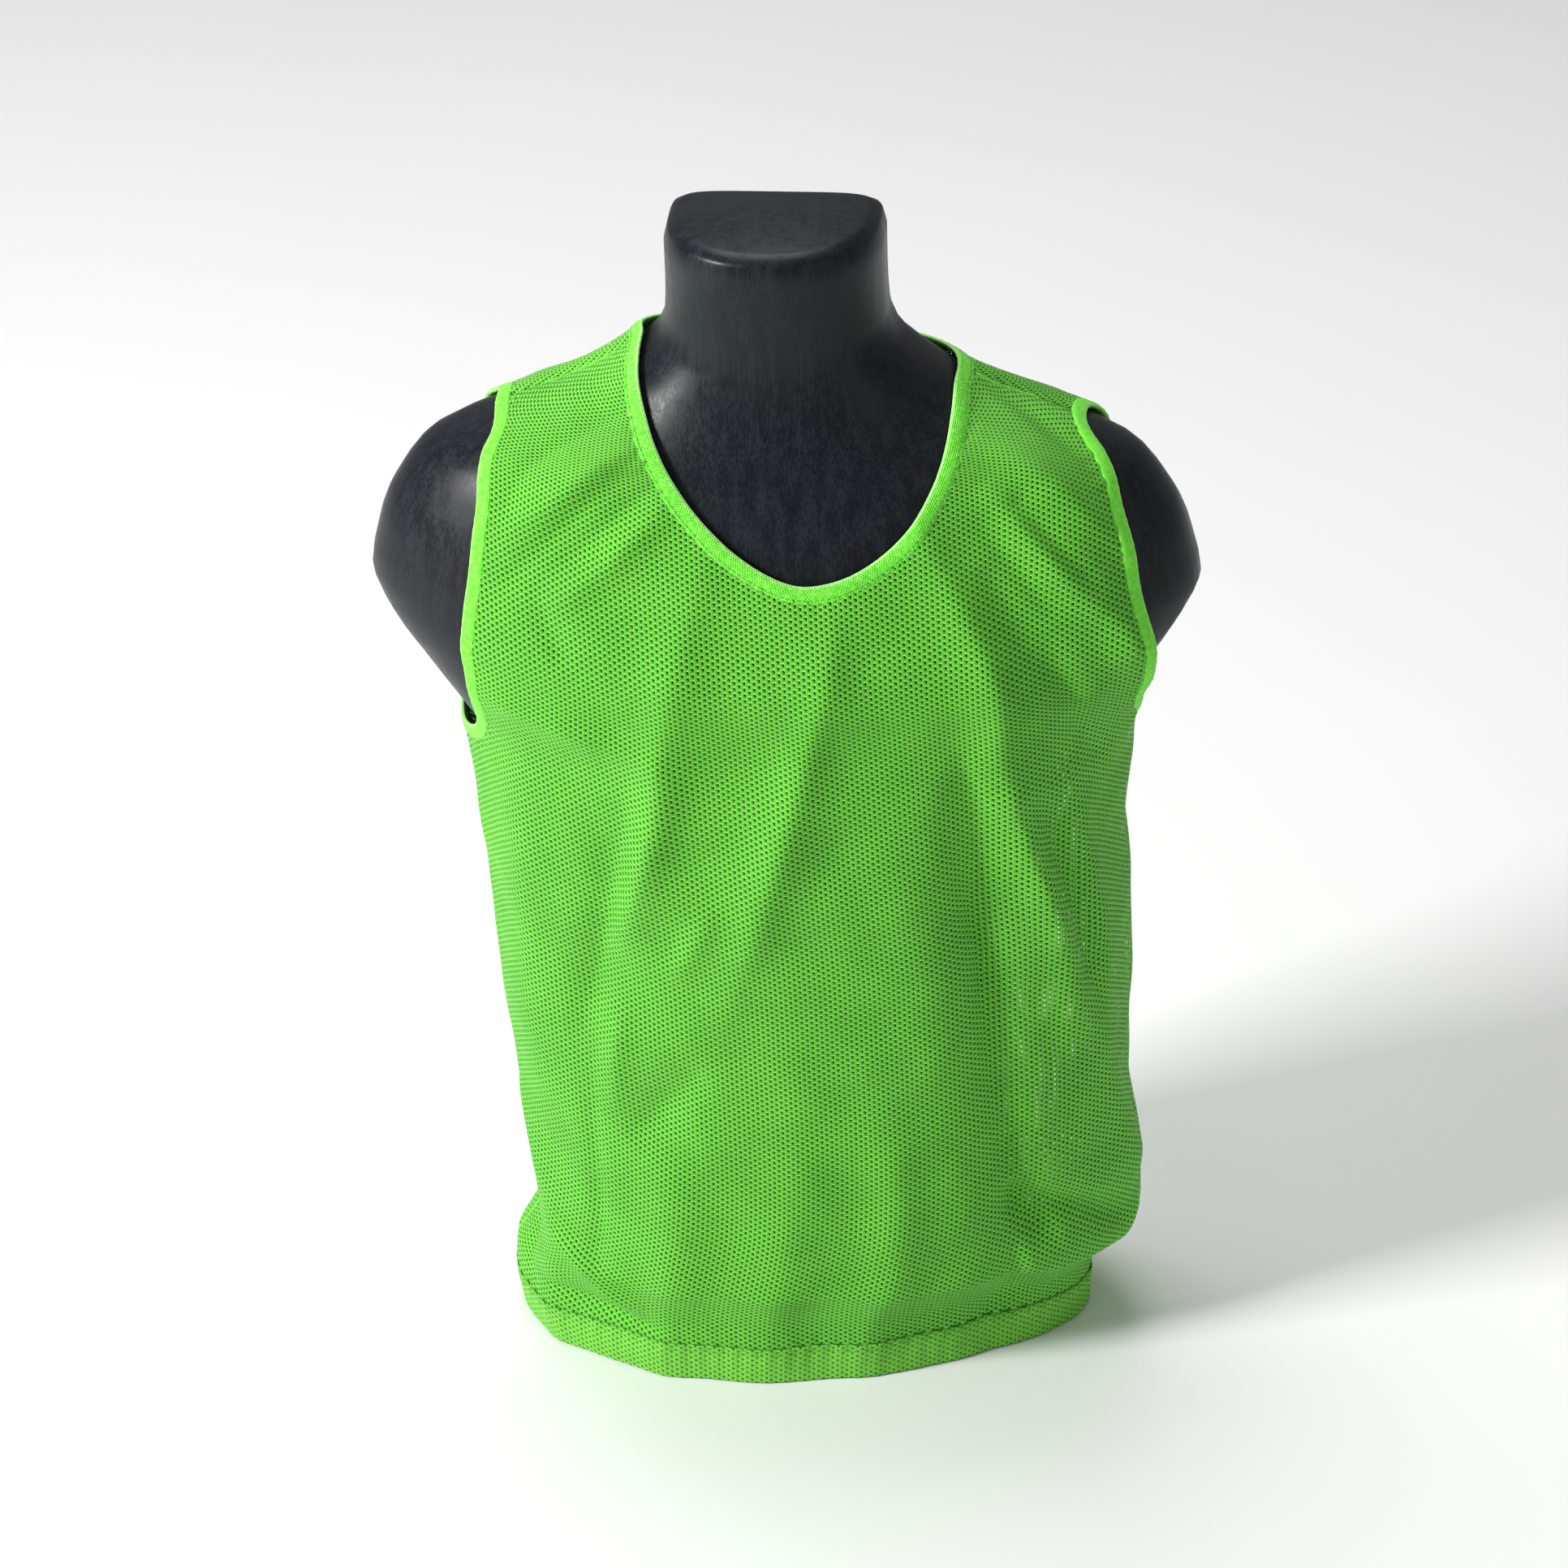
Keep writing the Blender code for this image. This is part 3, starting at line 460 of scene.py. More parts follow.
def outward(turn, height):
    points = smoothPoint(turn, height)
    tangent = np.roll(points, -1, axis=0) - np.roll(points, 1, axis=0)
    away = np.cross(normalAt(smoothPoint, turn, height), tangent)
    away /= np.linalg.norm(away, axis=-1, keepdims=True)
    for _ in range(6):
        away = (np.roll(away, 1, axis=0) + 2 * away + np.roll(away, -1, axis=0)) / 4
    away /= np.linalg.norm(away, axis=-1, keepdims=True)
    spread = ((points - points.mean(axis=0)) * away).sum()
    return away if spread > 0 else -away


def widened(edge, distance):
    return shift(edge[0], edge[1], outward(*edge), distance)


# The panels, a fine lattice of cloth with a wall.

panels = {
    "spacing": 3.5,
    "underBinding": 3.0,   # how far the cloth runs in under a binding
    "sideSteps": 130,
    "strapSteps": 7,
    "footSteps": 150,
    "seamGap": 0.3,
    "seamDip": 1.3,
    "seamDipReach": 2.6,
    "lean": 0.05,          # the columns of holes lean this much
}
binding = {"neckWidth": 10.0, "armholeWidth": 9.0, "thickness": 3.2, "middle": -0.8, "around": 22}
hemShape = {"lift": 0.8, "depth": 25.0, "steps": 300, "rows": 9}


def neckSide(panel):
    turn, height = widened(neckEdge(), binding["neckWidth"] - panels["underBinding"])
    count = neck["frontSteps"]
    if panel == "front":
        return turn[: count + 1].copy(), height[: count + 1].copy()
    return np.append(turn[count:], turn[0] + 4.0), np.append(height[count:], height[0])


def armholeSide(panel, name):
    turn, height = widened(armholeEdge(name), binding["armholeWidth"] - panels["underBinding"])
    if panel == "front":
        return turn[: armholeSteps + 1].copy(), height[: armholeSteps + 1].copy()
    turn = np.append(turn[armholeSteps:], turn[0])[::-1]
    height = np.append(height[armholeSteps:], height[0])[::-1]
    return (turn + 4.0 if name == "left" else turn.copy()), height


def panelEdge(panel):
    middle = 0.0 if panel == "front" else 2.0
    names = ("left", "right") if panel == "front" else ("right", "left")
    foot = hemShape["lift"] + hemShape["depth"] - 1.5
    neckTurn, neckHeight = neckSide(panel)
    neckTurn[0], neckTurn[-1] = middle - 1, middle + 1
    sides = []
    for seam, name, top in zip((middle - 1, middle + 1), names, (neckHeight[0], neckHeight[-1])):
        turn, height = armholeSide(panel, name)
        turn[0] = turn[-1] = seam
        climb = np.linspace(foot, height[0], panels["sideSteps"] + 1)[:-1]
        strap = np.linspace(height[-1], top, panels["strapSteps"] + 1)[1:]
        turn = np.concatenate([np.full(len(climb), seam), turn, np.full(len(strap), seam)])
        sides.append((turn, np.concatenate([climb, height, strap])))
    (firstTurn, firstHeight), (secondTurn, secondHeight) = sides
    across = np.linspace(middle - 1, middle + 1, panels["footSteps"] + 1)
    turn = np.concatenate([across, secondTurn[1:], neckTurn[-2:0:-1], firstTurn[:0:-1]])
    height = np.concatenate(
        [np.full(len(across), foot), secondHeight[1:], neckHeight[-2:0:-1], firstHeight[:0:-1]]
    )
    return turn, height


climbHeights = np.linspace(0.0, bibRows[-1][0], 400)
climbRun = np.append(
    0.0, np.cumsum(np.hypot(np.diff(climbHeights), np.diff(bib.at("right", climbHeights))))
)


def laidFlat(turn, height, middle):
    across = (turn - middle) * halfLength(middle, turn - middle, height)
    return np.stack([across, np.interp(height, climbHeights, climbRun)], axis=1)


def insidePoints(edge, spacing):
    low, high = edge.min(axis=0), edge.max(axis=0)
    rows = np.arange(low[1], high[1], spacing * math.sin(math.pi / 3))
    columns = np.arange(low[0], high[0], spacing)
    points = np.concatenate(
        [
            np.stack([columns + spacing / 2 * (i % 2), np.full(len(columns), climb)], axis=1)
            for i, climb in enumerate(rows)
        ]
    )
    crossings = np.zeros(len(points), int)
    nearest = np.full(len(points), 1e9)
    for a, b in zip(edge, np.roll(edge, -1, axis=0)):
        run = b - a
        close = np.nonzero(np.abs(points - (a + b) / 2).max(axis=1) < spacing * 2 + np.abs(run).max())[0]
        part = np.clip((points[close] - a) @ run / (run @ run), 0.0, 1.0)
        gap = np.linalg.norm(points[close] - a - part[:, None] * run, axis=1)
        nearest[close] = np.minimum(nearest[close], gap)
        if a[1] != b[1]:
            level = (a[1] > points[:, 1]) != (b[1] > points[:, 1])
            crossings += level & (points[:, 0] < a[0] + (points[:, 1] - a[1]) / run[1] * run[0])
    return points[(crossings % 2 == 1) & (nearest > 0.55 * spacing)]


def panelPlaces(panel):
    middle = 0.0 if panel == "front" else 2.0
    edgeTurn, edgeHeight = panelEdge(panel)
    edge = laidFlat(edgeTurn, edgeHeight, middle)
    inner = insidePoints(edge, panels["spacing"])
    flat = np.concatenate([edge, inner])
    found = delaunay_2d_cdt([Vector(p) for p in flat.tolist()], [], [tuple(range(len(edge)))], 1, 1e-6)
    source = [origins[0] for origins in found[3]]
    triangles = [tuple(source[i] for i in face) for face in found[2]]
    height = np.interp(inner[:, 1], climbRun, climbHeights)
    turn = np.concatenate([edgeTurn, middle + inner[:, 0] / halfLength(middle, inner[:, 0], height)])
    return turn, np.concatenate([edgeHeight, height]), triangles, len(edge), flat


def meshNormals(points, triangles):
    corners = points[triangles]
    faceNormal = np.cross(corners[:, 1] - corners[:, 0], corners[:, 2] - corners[:, 0])
    normal = np.zeros(points.shape)
    for k in range(3):
        np.add.at(normal, triangles[:, k], faceNormal)
    return normal / np.linalg.norm(normal, axis=1, keepdims=True)


def newObject(name, points, faces, material, flat=None):
    mesh = bpy.data.meshes.new(name)
    mesh.from_pydata((np.asarray(points) * mm).tolist(), [], faces)
    mesh.materials.append(material)
    mesh.shade_smooth()
    if flat is not None:
        layer = mesh.uv_layers.new(name="knit")
        index = np.zeros(len(mesh.loops), int)
        mesh.loops.foreach_get("vertex_index", index)
        layer.data.foreach_set("uv", (np.asarray(flat)[index] * mm).ravel())
    made = bpy.data.objects.new(name, mesh)
    scene.collection.objects.link(made)
    return made


# Nodes. A helper adds one math node and links or fills its inputs.

def mathNode(tree, operation, *values):
    node = tree.nodes.new("ShaderNodeMath")
    node.operation = operation
    for place, value in enumerate(values):
        if isinstance(value, (int, float)):
            node.inputs[place].default_value = value
        else:
            tree.links.new(value, node.inputs[place])
    return node.outputs[0]


def rangeNode(tree, value, fromLow, fromHigh, toLow, toHigh, smooth=True):
    node = tree.nodes.new("ShaderNodeMapRange")
    node.interpolation_type = "SMOOTHSTEP" if smooth else "LINEAR"
    tree.links.new(value, node.inputs["Value"])
    names = ("From Min", "From Max", "To Min", "To Max")
    for name, amount in zip(names, (fromLow, fromHigh, toLow, toHigh)):
        if isinstance(amount, (int, float)):
            node.inputs[name].default_value = amount
        else:
            tree.links.new(amount, node.inputs[name])
    return node.outputs["Result"]


def noiseNode(tree, vector, scale, detail=2.0, roughness=0.5):
    node = tree.nodes.new("ShaderNodeTexNoise")
    node.inputs["Scale"].default_value = scale
    node.inputs["Detail"].default_value = detail
    node.inputs["Roughness"].default_value = roughness
    tree.links.new(vector, node.inputs["Vector"])
    return node.outputs["Fac"]


def mixColours(tree, share, first, second, blend="MIX"):
    node = tree.nodes.new("ShaderNodeMix")
    node.data_type = "RGBA"
    node.blend_type = blend
    for socket, value in ((node.inputs[0], share), (node.inputs[6], first), (node.inputs[7], second)):
        if isinstance(value, (int, float)):
            socket.default_value = value
        elif isinstance(value, tuple):
            socket.default_value = (*value, 1.0)
        else:
            tree.links.new(value, socket)
    return node.outputs[2]


def newGroup(name, inputs, outputs):
    tree = bpy.data.node_groups.new(name, "ShaderNodeTree")
    for socketName, kind, value in inputs:
        socket = tree.interface.new_socket(name=socketName, in_out="INPUT", socket_type=kind)
        if value is not None:
            socket.default_value = value
    for socketName, kind in outputs:
        tree.interface.new_socket(name=socketName, in_out="OUTPUT", socket_type=kind)
    return tree, tree.nodes.new("NodeGroupInput"), tree.nodes.new("NodeGroupOutput")


def holedKnitGroup():
    # rows of small slits, every second column half a step lower, in metres of flat cloth
    tree, start, end = newGroup(
        "holedKnit",
        [
            ("Vector", "NodeSocketVector", None),
            ("Column Step", "NodeSocketFloat", 0.0028),
            ("Row Step", "NodeSocketFloat", 0.0036),
            ("Hole Width", "NodeSocketFloat", 0.0011),
            ("Hole Length", "NodeSocketFloat", 0.0018),
            ("Slant", "NodeSocketFloat", 0.25),
            ("Wobble", "NodeSocketFloat", 0.0003),
        ],
        [("Hole", "NodeSocketFloat"), ("Relief", "NodeSocketFloat"), ("Glint", "NodeSocketFloat")],
    )
    value = start.outputs
    split = tree.nodes.new("ShaderNodeSeparateXYZ")
    tree.links.new(value["Vector"], split.inputs[0])
    drift = mathNode(tree, "SUBTRACT", noiseNode(tree, value["Vector"], 140.0), 0.5)
    drift = mathNode(tree, "MULTIPLY", drift, value["Wobble"])
    drift = mathNode(tree, "MULTIPLY", drift, 2.0)
    x = mathNode(tree, "ADD", split.outputs["X"], drift)
    y = mathNode(tree, "SUBTRACT", split.outputs["Y"], drift)
    column = mathNode(tree, "DIVIDE", x, value["Column Step"])
    columnPlace = mathNode(tree, "SUBTRACT", mathNode(tree, "FRACT", column), 0.5)
    beside = mathNode(tree, "MULTIPLY", columnPlace, value["Column Step"])
    odd = mathNode(tree, "FLOORED_MODULO", mathNode(tree, "FLOOR", column), 2.0)
    row = mathNode(tree, "DIVIDE", y, value["Row Step"])
    row = mathNode(tree, "ADD", row, mathNode(tree, "MULTIPLY", odd, 0.5))
    rowPlace = mathNode(tree, "SUBTRACT", mathNode(tree, "FRACT", row), 0.5)
    above = mathNode(tree, "MULTIPLY", rowPlace, value["Row Step"])
    leaning = mathNode(tree, "ADD", beside, mathNode(tree, "MULTIPLY", above, value["Slant"]))
    wide = mathNode(tree, "DIVIDE", leaning, mathNode(tree, "MULTIPLY", value["Hole Width"], 0.5))
    tall = mathNode(tree, "DIVIDE", above, mathNode(tree, "MULTIPLY", value["Hole Length"], 0.5))
    square = mathNode(tree, "ADD", mathNode(tree, "POWER", mathNode(tree, "ABSOLUTE", wide), 2.0),
                      mathNode(tree, "POWER", mathNode(tree, "ABSOLUTE", tall), 2.0))
    distance = mathNode(tree, "SQRT", square)
    tree.links.new(rangeNode(tree, distance, 0.7, 1.25, 1.0, 0.0), end.inputs["Hole"])
    net = rangeNode(tree, distance, 0.8, 2.6, 0.0, 1.0)
    # the loops of yarn, a fine wave along each column
    bent = mathNode(tree, "ADD", y, mathNode(tree, "MULTIPLY", mathNode(tree, "ABSOLUTE", beside), 0.8))
    loops = mathNode(tree, "SINE", mathNode(tree, "MULTIPLY", bent, 2 * math.pi / 0.00095))
    relief = mathNode(tree, "ADD", net, mathNode(tree, "MULTIPLY", loops, 0.16))
    tree.links.new(relief, end.inputs["Relief"])
    # the loop over each hole catches the light
    glintWide = mathNode(tree, "POWER", mathNode(tree, "ABSOLUTE", mathNode(tree, "MULTIPLY", wide, 0.55)), 2.0)
    lifted = mathNode(tree, "SUBTRACT", tall, 1.35)
    glintTall = mathNode(tree, "POWER", mathNode(tree, "ABSOLUTE", mathNode(tree, "MULTIPLY", lifted, 1.5)), 2.0)
    far = mathNode(tree, "ADD", glintWide, glintTall)
    tree.links.new(rangeNode(tree, far, 0.0, 1.1, 1.0, 0.0), end.inputs["Glint"])
    return tree


def ribKnitGroup():
    # dense knit of the bindings: x along the strip, y across it, in metres
    tree, start, end = newGroup(
        "ribKnit",
        [
            ("Vector", "NodeSocketVector", None),
            ("Stitch Step", "NodeSocketFloat", 0.0016),
            ("Row Step", "NodeSocketFloat", 0.0012),
            ("Dimple Share", "NodeSocketFloat", 0.5),
        ],
        [("Dimple", "NodeSocketFloat"), ("Relief", "NodeSocketFloat")],
    )
    value = start.outputs
    split = tree.nodes.new("ShaderNodeSeparateXYZ")
    tree.links.new(value["Vector"], split.inputs[0])
    along = mathNode(tree, "DIVIDE", split.outputs["X"], value["Stitch Step"])
    across = mathNode(tree, "DIVIDE", split.outputs["Y"], value["Row Step"])
    odd = mathNode(tree, "FLOORED_MODULO", mathNode(tree, "FLOOR", across), 2.0)
    along = mathNode(tree, "ADD", along, mathNode(tree, "MULTIPLY", odd, 0.5))
    alongPlace = mathNode(tree, "SUBTRACT", mathNode(tree, "FRACT", along), 0.5)
    acrossPlace = mathNode(tree, "SUBTRACT", mathNode(tree, "FRACT", across), 0.5)
    square = mathNode(tree, "ADD", mathNode(tree, "POWER", mathNode(tree, "ABSOLUTE", alongPlace), 2.0),
                      mathNode(tree, "POWER", mathNode(tree, "ABSOLUTE", acrossPlace), 2.0))
    distance = mathNode(tree, "SQRT", square)
    patch = noiseNode(tree, value["Vector"], 420.0, 3.0, 0.6)
    shown = rangeNode(tree, mathNode(tree, "ADD", patch, mathNode(tree, "SUBTRACT", value["Dimple Share"], 0.5)),
                      0.48, 0.6, 0.0, 1.0)
    dimple = mathNode(tree, "MULTIPLY", rangeNode(tree, distance, 0.14, 0.34, 1.0, 0.0), shown)
    tree.links.new(dimple, end.inputs["Dimple"])
    tree.links.new(rangeNode(tree, distance, 0.1, 0.6, 0.0, 1.0), end.inputs["Relief"])
    return tree


holedKnit = holedKnitGroup()
ribKnit = ribKnitGroup()


def newMaterial(name):
    made = bpy.data.materials.new(name)
    made.use_nodes = True
    return made, made.node_tree, made.node_tree.nodes["Principled BSDF"]


def groupNode(tree, group, vector, values=None):
    node = tree.nodes.new("ShaderNodeGroup")
    node.node_tree = group
    tree.links.new(vector, node.inputs["Vector"])
    for name, value in (values or {}).items():
        node.inputs[name].default_value = value
    return node


def bumpInto(tree, shader, height, distance, strength=1.0):
    bump = tree.nodes.new("ShaderNodeBump")
    bump.inputs["Distance"].default_value = distance
    bump.inputs["Strength"].default_value = strength
    tree.links.new(height, bump.inputs["Height"])
    tree.links.new(bump.outputs["Normal"], shader.inputs["Normal"])


def knitUv(tree):
    node = tree.nodes.new("ShaderNodeUVMap")
    node.uv_map = "knit"
    return node.outputs["UV"]


# deep is a darker green, used for random patches and for painted shade in the knit's hollows; glint is a painted
# highlight
meshLook = {
    "body": (0.12, 0.56, 0.03),
    "glint": (0.42, 0.90, 0.13),
    "deep": (0.03, 0.30, 0.012),
    "hole": (0.01, 0.10, 0.008),
    "roughness": 0.62,
    "bump": 0.00045,
}


def meshMaterial(name, open_, values, brighten=0.0):
    material, tree, shader = newMaterial(name)
    knit = groupNode(tree, holedKnit, knitUv(tree), values)
    place = tree.nodes.new("ShaderNodeTexCoord").outputs["Object"]
    cloudy = rangeNode(tree, noiseNode(tree, place, 26.0, 3.0), 0.35, 0.65, 0.0, 1.0)
    colour = mixColours(tree, mathNode(tree, "MULTIPLY", cloudy, 0.22), meshLook["body"], meshLook["deep"])
    # painted shade: darker towards the deep green where the knit's relief is low, round each hole
    colour = mixColours(tree, rangeNode(tree, knit.outputs["Relief"], 0.0, 0.7, 0.55, 0.0), colour, meshLook["deep"])
    colour = mixColours(tree, mathNode(tree, "MULTIPLY", knit.outputs["Glint"], 0.75), colour, meshLook["glint"])
    if brighten:
        colour = mixColours(tree, brighten, colour, meshLook["glint"])
    if open_:
        alpha = mathNode(tree, "SUBTRACT", 1.0, knit.outputs["Hole"])
        tree.links.new(alpha, shader.inputs["Alpha"])
    else:
        colour = mixColours(tree, knit.outputs["Hole"], colour, meshLook["hole"])
    tree.links.new(colour, shader.inputs["Base Color"])
    fuzz = noiseNode(tree, place, 1400.0, 2.0)
    tree.links.new(rangeNode(tree, fuzz, 0.3, 0.7, meshLook["roughness"] - 0.08, meshLook["roughness"] + 0.1),
                   shader.inputs["Roughness"])
    height = mathNode(tree, "ADD", knit.outputs["Relief"], mathNode(tree, "MULTIPLY", fuzz, 0.15))
    bumpInto(tree, shader, height, meshLook["bump"])
    shader.inputs["Sheen Weight"].default_value = 0.25
    shader.inputs["Sheen Roughness"].default_value = 0.45
    shader.inputs["Sheen Tint"].default_value = (0.7, 1.0, 0.5, 1.0)
    shader.inputs["Specular IOR Level"].default_value = 0.3
    return material


panelKnit = meshMaterial("holed knit", True, {})
hemKnit = meshMaterial("doubled holed knit", True, {"Hole Width": 0.0010, "Hole Length": 0.0015}, 0.18)

bindingLook = {
    "body": (0.14, 0.80, 0.03),
    "light": (0.38, 0.95, 0.14),
    # dimple is a darker green, painted shade in the knit's small pits
    "dimple": (0.04, 0.42, 0.015),
    "roughness": 0.6,
    "bump": 0.00035,
}


def bindingMaterial(name, dimples, innerEdgeHighlight):
    material, tree, shader = newMaterial(name)
    uv = knitUv(tree)
    knit = groupNode(tree, ribKnit, uv, {"Dimple Share": dimples})
    split = tree.nodes.new("ShaderNodeSeparateXYZ")
    tree.links.new(uv, split.inputs[0])
    mottle = rangeNode(tree, noiseNode(tree, uv, 300.0, 3.0, 0.65), 0.38, 0.66, 0.0, 1.0)
    colour = mixColours(tree, mathNode(tree, "MULTIPLY", mottle, 0.45), bindingLook["body"], bindingLook["light"])
    # painted shade: the knit's small pits are darkened towards the dimple green
    colour = mixColours(tree, mathNode(tree, "MULTIPLY", knit.outputs["Dimple"], 0.8), colour, bindingLook["dimple"])
    # painted highlight: the binding is paler along its rolled edge at the opening, more so on the neck binding
    rim = rangeNode(tree, split.outputs["Y"], 0.0, 0.0022, innerEdgeHighlight, 0.0)
    colour = mixColours(tree, rim, colour, (0.55, 0.95, 0.35))
    tree.links.new(colour, shader.inputs["Base Color"])
    fuzz = noiseNode(tree, uv, 1800.0, 2.0)
    tree.links.new(rangeNode(tree, fuzz, 0.3, 0.7, 0.52, 0.72), shader.inputs["Roughness"])
    height = mathNode(tree, "SUBTRACT", mathNode(tree, "MULTIPLY", knit.outputs["Relief"], 0.6), knit.outputs["Dimple"])
    height = mathNode(tree, "ADD", height, mathNode(tree, "MULTIPLY", fuzz, 0.25))
    bumpInto(tree, shader, height, bindingLook["bump"])
    shader.inputs["Sheen Weight"].default_value = 0.3
    shader.inputs["Sheen Roughness"].default_value = 0.4
    shader.inputs["Sheen Tint"].default_value = (0.7, 1.0, 0.5, 1.0)
    shader.inputs["Specular IOR Level"].default_value = 0.3
    return material


neckKnit = bindingMaterial("neck binding knit", 0.55, 0.65)
armholeKnit = bindingMaterial("armhole binding knit", 0.4, 0.45)

# colour is the stitch thread, given a darker green than the cloth as painted shade for the dark line along the stitched
# groove; seam is the overlock thread
threadLook = {"colour": (0.05, 0.42, 0.02), "seam": (0.16, 0.74, 0.05), "twist": 0.0007}


def threadMaterial(name, colour):
    material, tree, shader = newMaterial(name)
    place = tree.nodes.new("ShaderNodeTexCoord").outputs["Object"]
    wave = tree.nodes.new("ShaderNodeTexWave")
    wave.bands_direction = "DIAGONAL"
    wave.inputs["Scale"].default_value = 0.3 / threadLook["twist"]
    tree.links.new(place, wave.inputs["Vector"])
    shade = mathNode(tree, "MULTIPLY", wave.outputs["Fac"], 0.4)
    darker = tuple(c * 0.5 for c in colour)
    tree.links.new(mixColours(tree, shade, colour, darker), shader.inputs["Base Color"])
    shader.inputs["Roughness"].default_value = 0.5
    bumpInto(tree, shader, wave.outputs["Fac"], 0.0001)
    return material


# the stitch thread carries the painted shade of the stitched groove in its darker green
stitchThread = threadMaterial("stitch thread", threadLook["colour"])
seamThread = threadMaterial("overlock thread", threadLook["seam"])

shellLook = {"colour": (0.0045, 0.0062, 0.009), "pale": (0.012, 0.015, 0.019), "roughness": 0.36}


def shellMaterial():
    material, tree, shader = newMaterial("satin moulded shell")
    place = tree.nodes.new("ShaderNodeTexCoord").outputs["Object"]
    stretch = tree.nodes.new("ShaderNodeMapping")
    stretch.inputs["Scale"].default_value = (1.0, 1.0, 0.03)
    tree.links.new(place, stretch.inputs["Vector"])
    fine = noiseNode(tree, stretch.outputs["Vector"], 900.0, 4.0, 0.6)
    broad = noiseNode(tree, stretch.outputs["Vector"], 160.0, 3.0, 0.55)
    cloudy = noiseNode(tree, place, 14.0, 4.0, 0.6)
    streak = mathNode(tree, "ADD", mathNode(tree, "MULTIPLY", fine, 0.6), mathNode(tree, "MULTIPLY", broad, 0.4))
    tree.links.new(mixColours(tree, rangeNode(tree, streak, 0.42, 0.62, 0.0, 1.0), shellLook["colour"],
                              shellLook["pale"]), shader.inputs["Base Color"])
    rough = rangeNode(tree, streak, 0.35, 0.65, shellLook["roughness"] - 0.05, shellLook["roughness"] + 0.1)
    rough = mathNode(tree, "ADD", rough, mathNode(tree, "MULTIPLY", mathNode(tree, "SUBTRACT", cloudy, 0.5), 0.12))
    tree.links.new(rough, shader.inputs["Roughness"])
    bumpInto(tree, shader, streak, 0.00006)
    shader.inputs["Specular IOR Level"].default_value = 0.22
    return material


satinShell = shellMaterial()
print("materials made")


def puckers(points, edge, wave, reach, amount):
    # gathers beside a sewn edge, strongest at the edge
    count = len(edge)
    run = np.append(0.0, np.cumsum(np.linalg.norm(np.diff(edge, axis=0), axis=1)))
    total = np.zeros(len(points))
    low, high = edge.min(axis=0) - 3 * reach, edge.max(axis=0) + 3 * reach
    near = np.nonzero(np.all((points > low) & (points < high), axis=1))[0]
    for chunk in np.array_split(near, max(1, len(near) * count // 4000000 + 1)):
        if not len(chunk):
            continue
        square = ((points[chunk][:, None, :] - edge[None, :, :]) ** 2).sum(axis=2)
        best = square.argmin(axis=1)
        gap = np.sqrt(square[np.arange(len(chunk)), best])
        at = run[best]
        shape = np.sin(2 * math.pi * at / wave + 1.7 * np.sin(at / 23.0))
        total[chunk] = amount * shape * np.exp(-((gap / reach) ** 1.5))
    return total


def panelObject(panel):
    turn, height, triangles, rim, flat = panelPlaces(panel)
    triangles = np.array(triangles)
    middle = 0.0 if panel == "front" else 2.0
    outer = clothPoint(turn, height)
    normal = meshNormals(outer, triangles)
    if (normal[:, 1].mean() > 0) == (panel == "front"):
        triangles = triangles[:, ::-1]
        normal = -normal
    change = np.zeros(len(outer))
    for edge in (neckEdge(), armholeEdge("left"), armholeEdge("right")):
        sewn = clothPoint(*widened(edge, binding["neckWidth"]))
        change += puckers(outer, sewn, 8.5, 7.0, 0.45)
    foot = np.linspace(middle - 1, middle + 1, 400)
    sewn = clothPoint(foot, np.full(400, hemShape["lift"] + hemShape["depth"]))
    change += puckers(outer, sewn, 11.0, 7.0, 0.4)
    fromSeam = (1 - np.abs(turn - middle)) * halfLength(middle, turn - middle, height)
    change -= panels["seamDip"] * np.exp(-((fromSeam / panels["seamDipReach"]) ** 2))
    outer = outer + normal * change[:, None]
    gap = formGap(outer)
    outer = outer + normal * np.maximum(0.0, cloth["wall"] + cloth["clear"] - gap)[:, None]
    normal = meshNormals(outer, triangles)
    count = len(outer)
    inner = outer - normal * cloth["wall"]
    faces = triangles.tolist()
    faces += (triangles[:, ::-1] + count).tolist()
    aboutRim = [(b, a, a + count, b + count) for a, b in zip(range(rim), list(range(1, rim)) + [0])]
    first = triangles[np.any(triangles == 0, axis=1) & np.any(triangles == 1, axis=1)][0].tolist()
    if first[(first.index(0) + 1) % 3] != 1:
        aboutRim = [face[::-1] for face in aboutRim]
    leaned = flat + np.stack([flat[:, 1] * panels["lean"], np.zeros(len(flat))], axis=1)
    made = newObject(
        panel + "Panel", np.concatenate([outer, inner]), faces + aboutRim, panelKnit,
        np.concatenate([leaned, leaned]),
    )
    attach(made, "root")
    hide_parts(panel + "_panel")
    print(made.name, len(faces), "triangles")
    return made


frontPanel = panelObject("front")
backPanel = panelObject("back")


def sweptStrip(name, points, closed, uvAlong, uvAround, material):
    # points[i, k]: place k round the section, at step i along the strip
    length, around = points.shape[:2]
    faces = []
    for i in range(length if closed else length - 1):
        j = (i + 1) % length
        for k in range(around):
            m = (k + 1) % around
            faces.append((i * around + k, j * around + k, j * around + m, i * around + m))
    if not closed:
        faces.append(tuple(range(around)))
        faces.append(tuple((length - 1) * around + k for k in range(around - 1, -1, -1)))
    made = newObject(name, points.reshape(-1, 3), faces, material)
    layer = made.data.uv_layers.new(name="knit")
    values = []
    for i in range(length if closed else length - 1):
        for k in range(around):
            # the last step of a closed strip keeps counting up, so that no stitch is torn
            ends = (uvAlong[i], uvAlong[i + 1])
            values += [ends[0], uvAround[k], ends[1], uvAround[k]]
            values += [ends[1], uvAround[k + 1], ends[0], uvAround[k + 1]]
    if not closed:
        values += [0.0, 0.0] * (2 * around)
    layer.data.foreach_set("uv", np.array(values) * mm)
    turnOutwards(made)
    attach(made, "root")
    return made


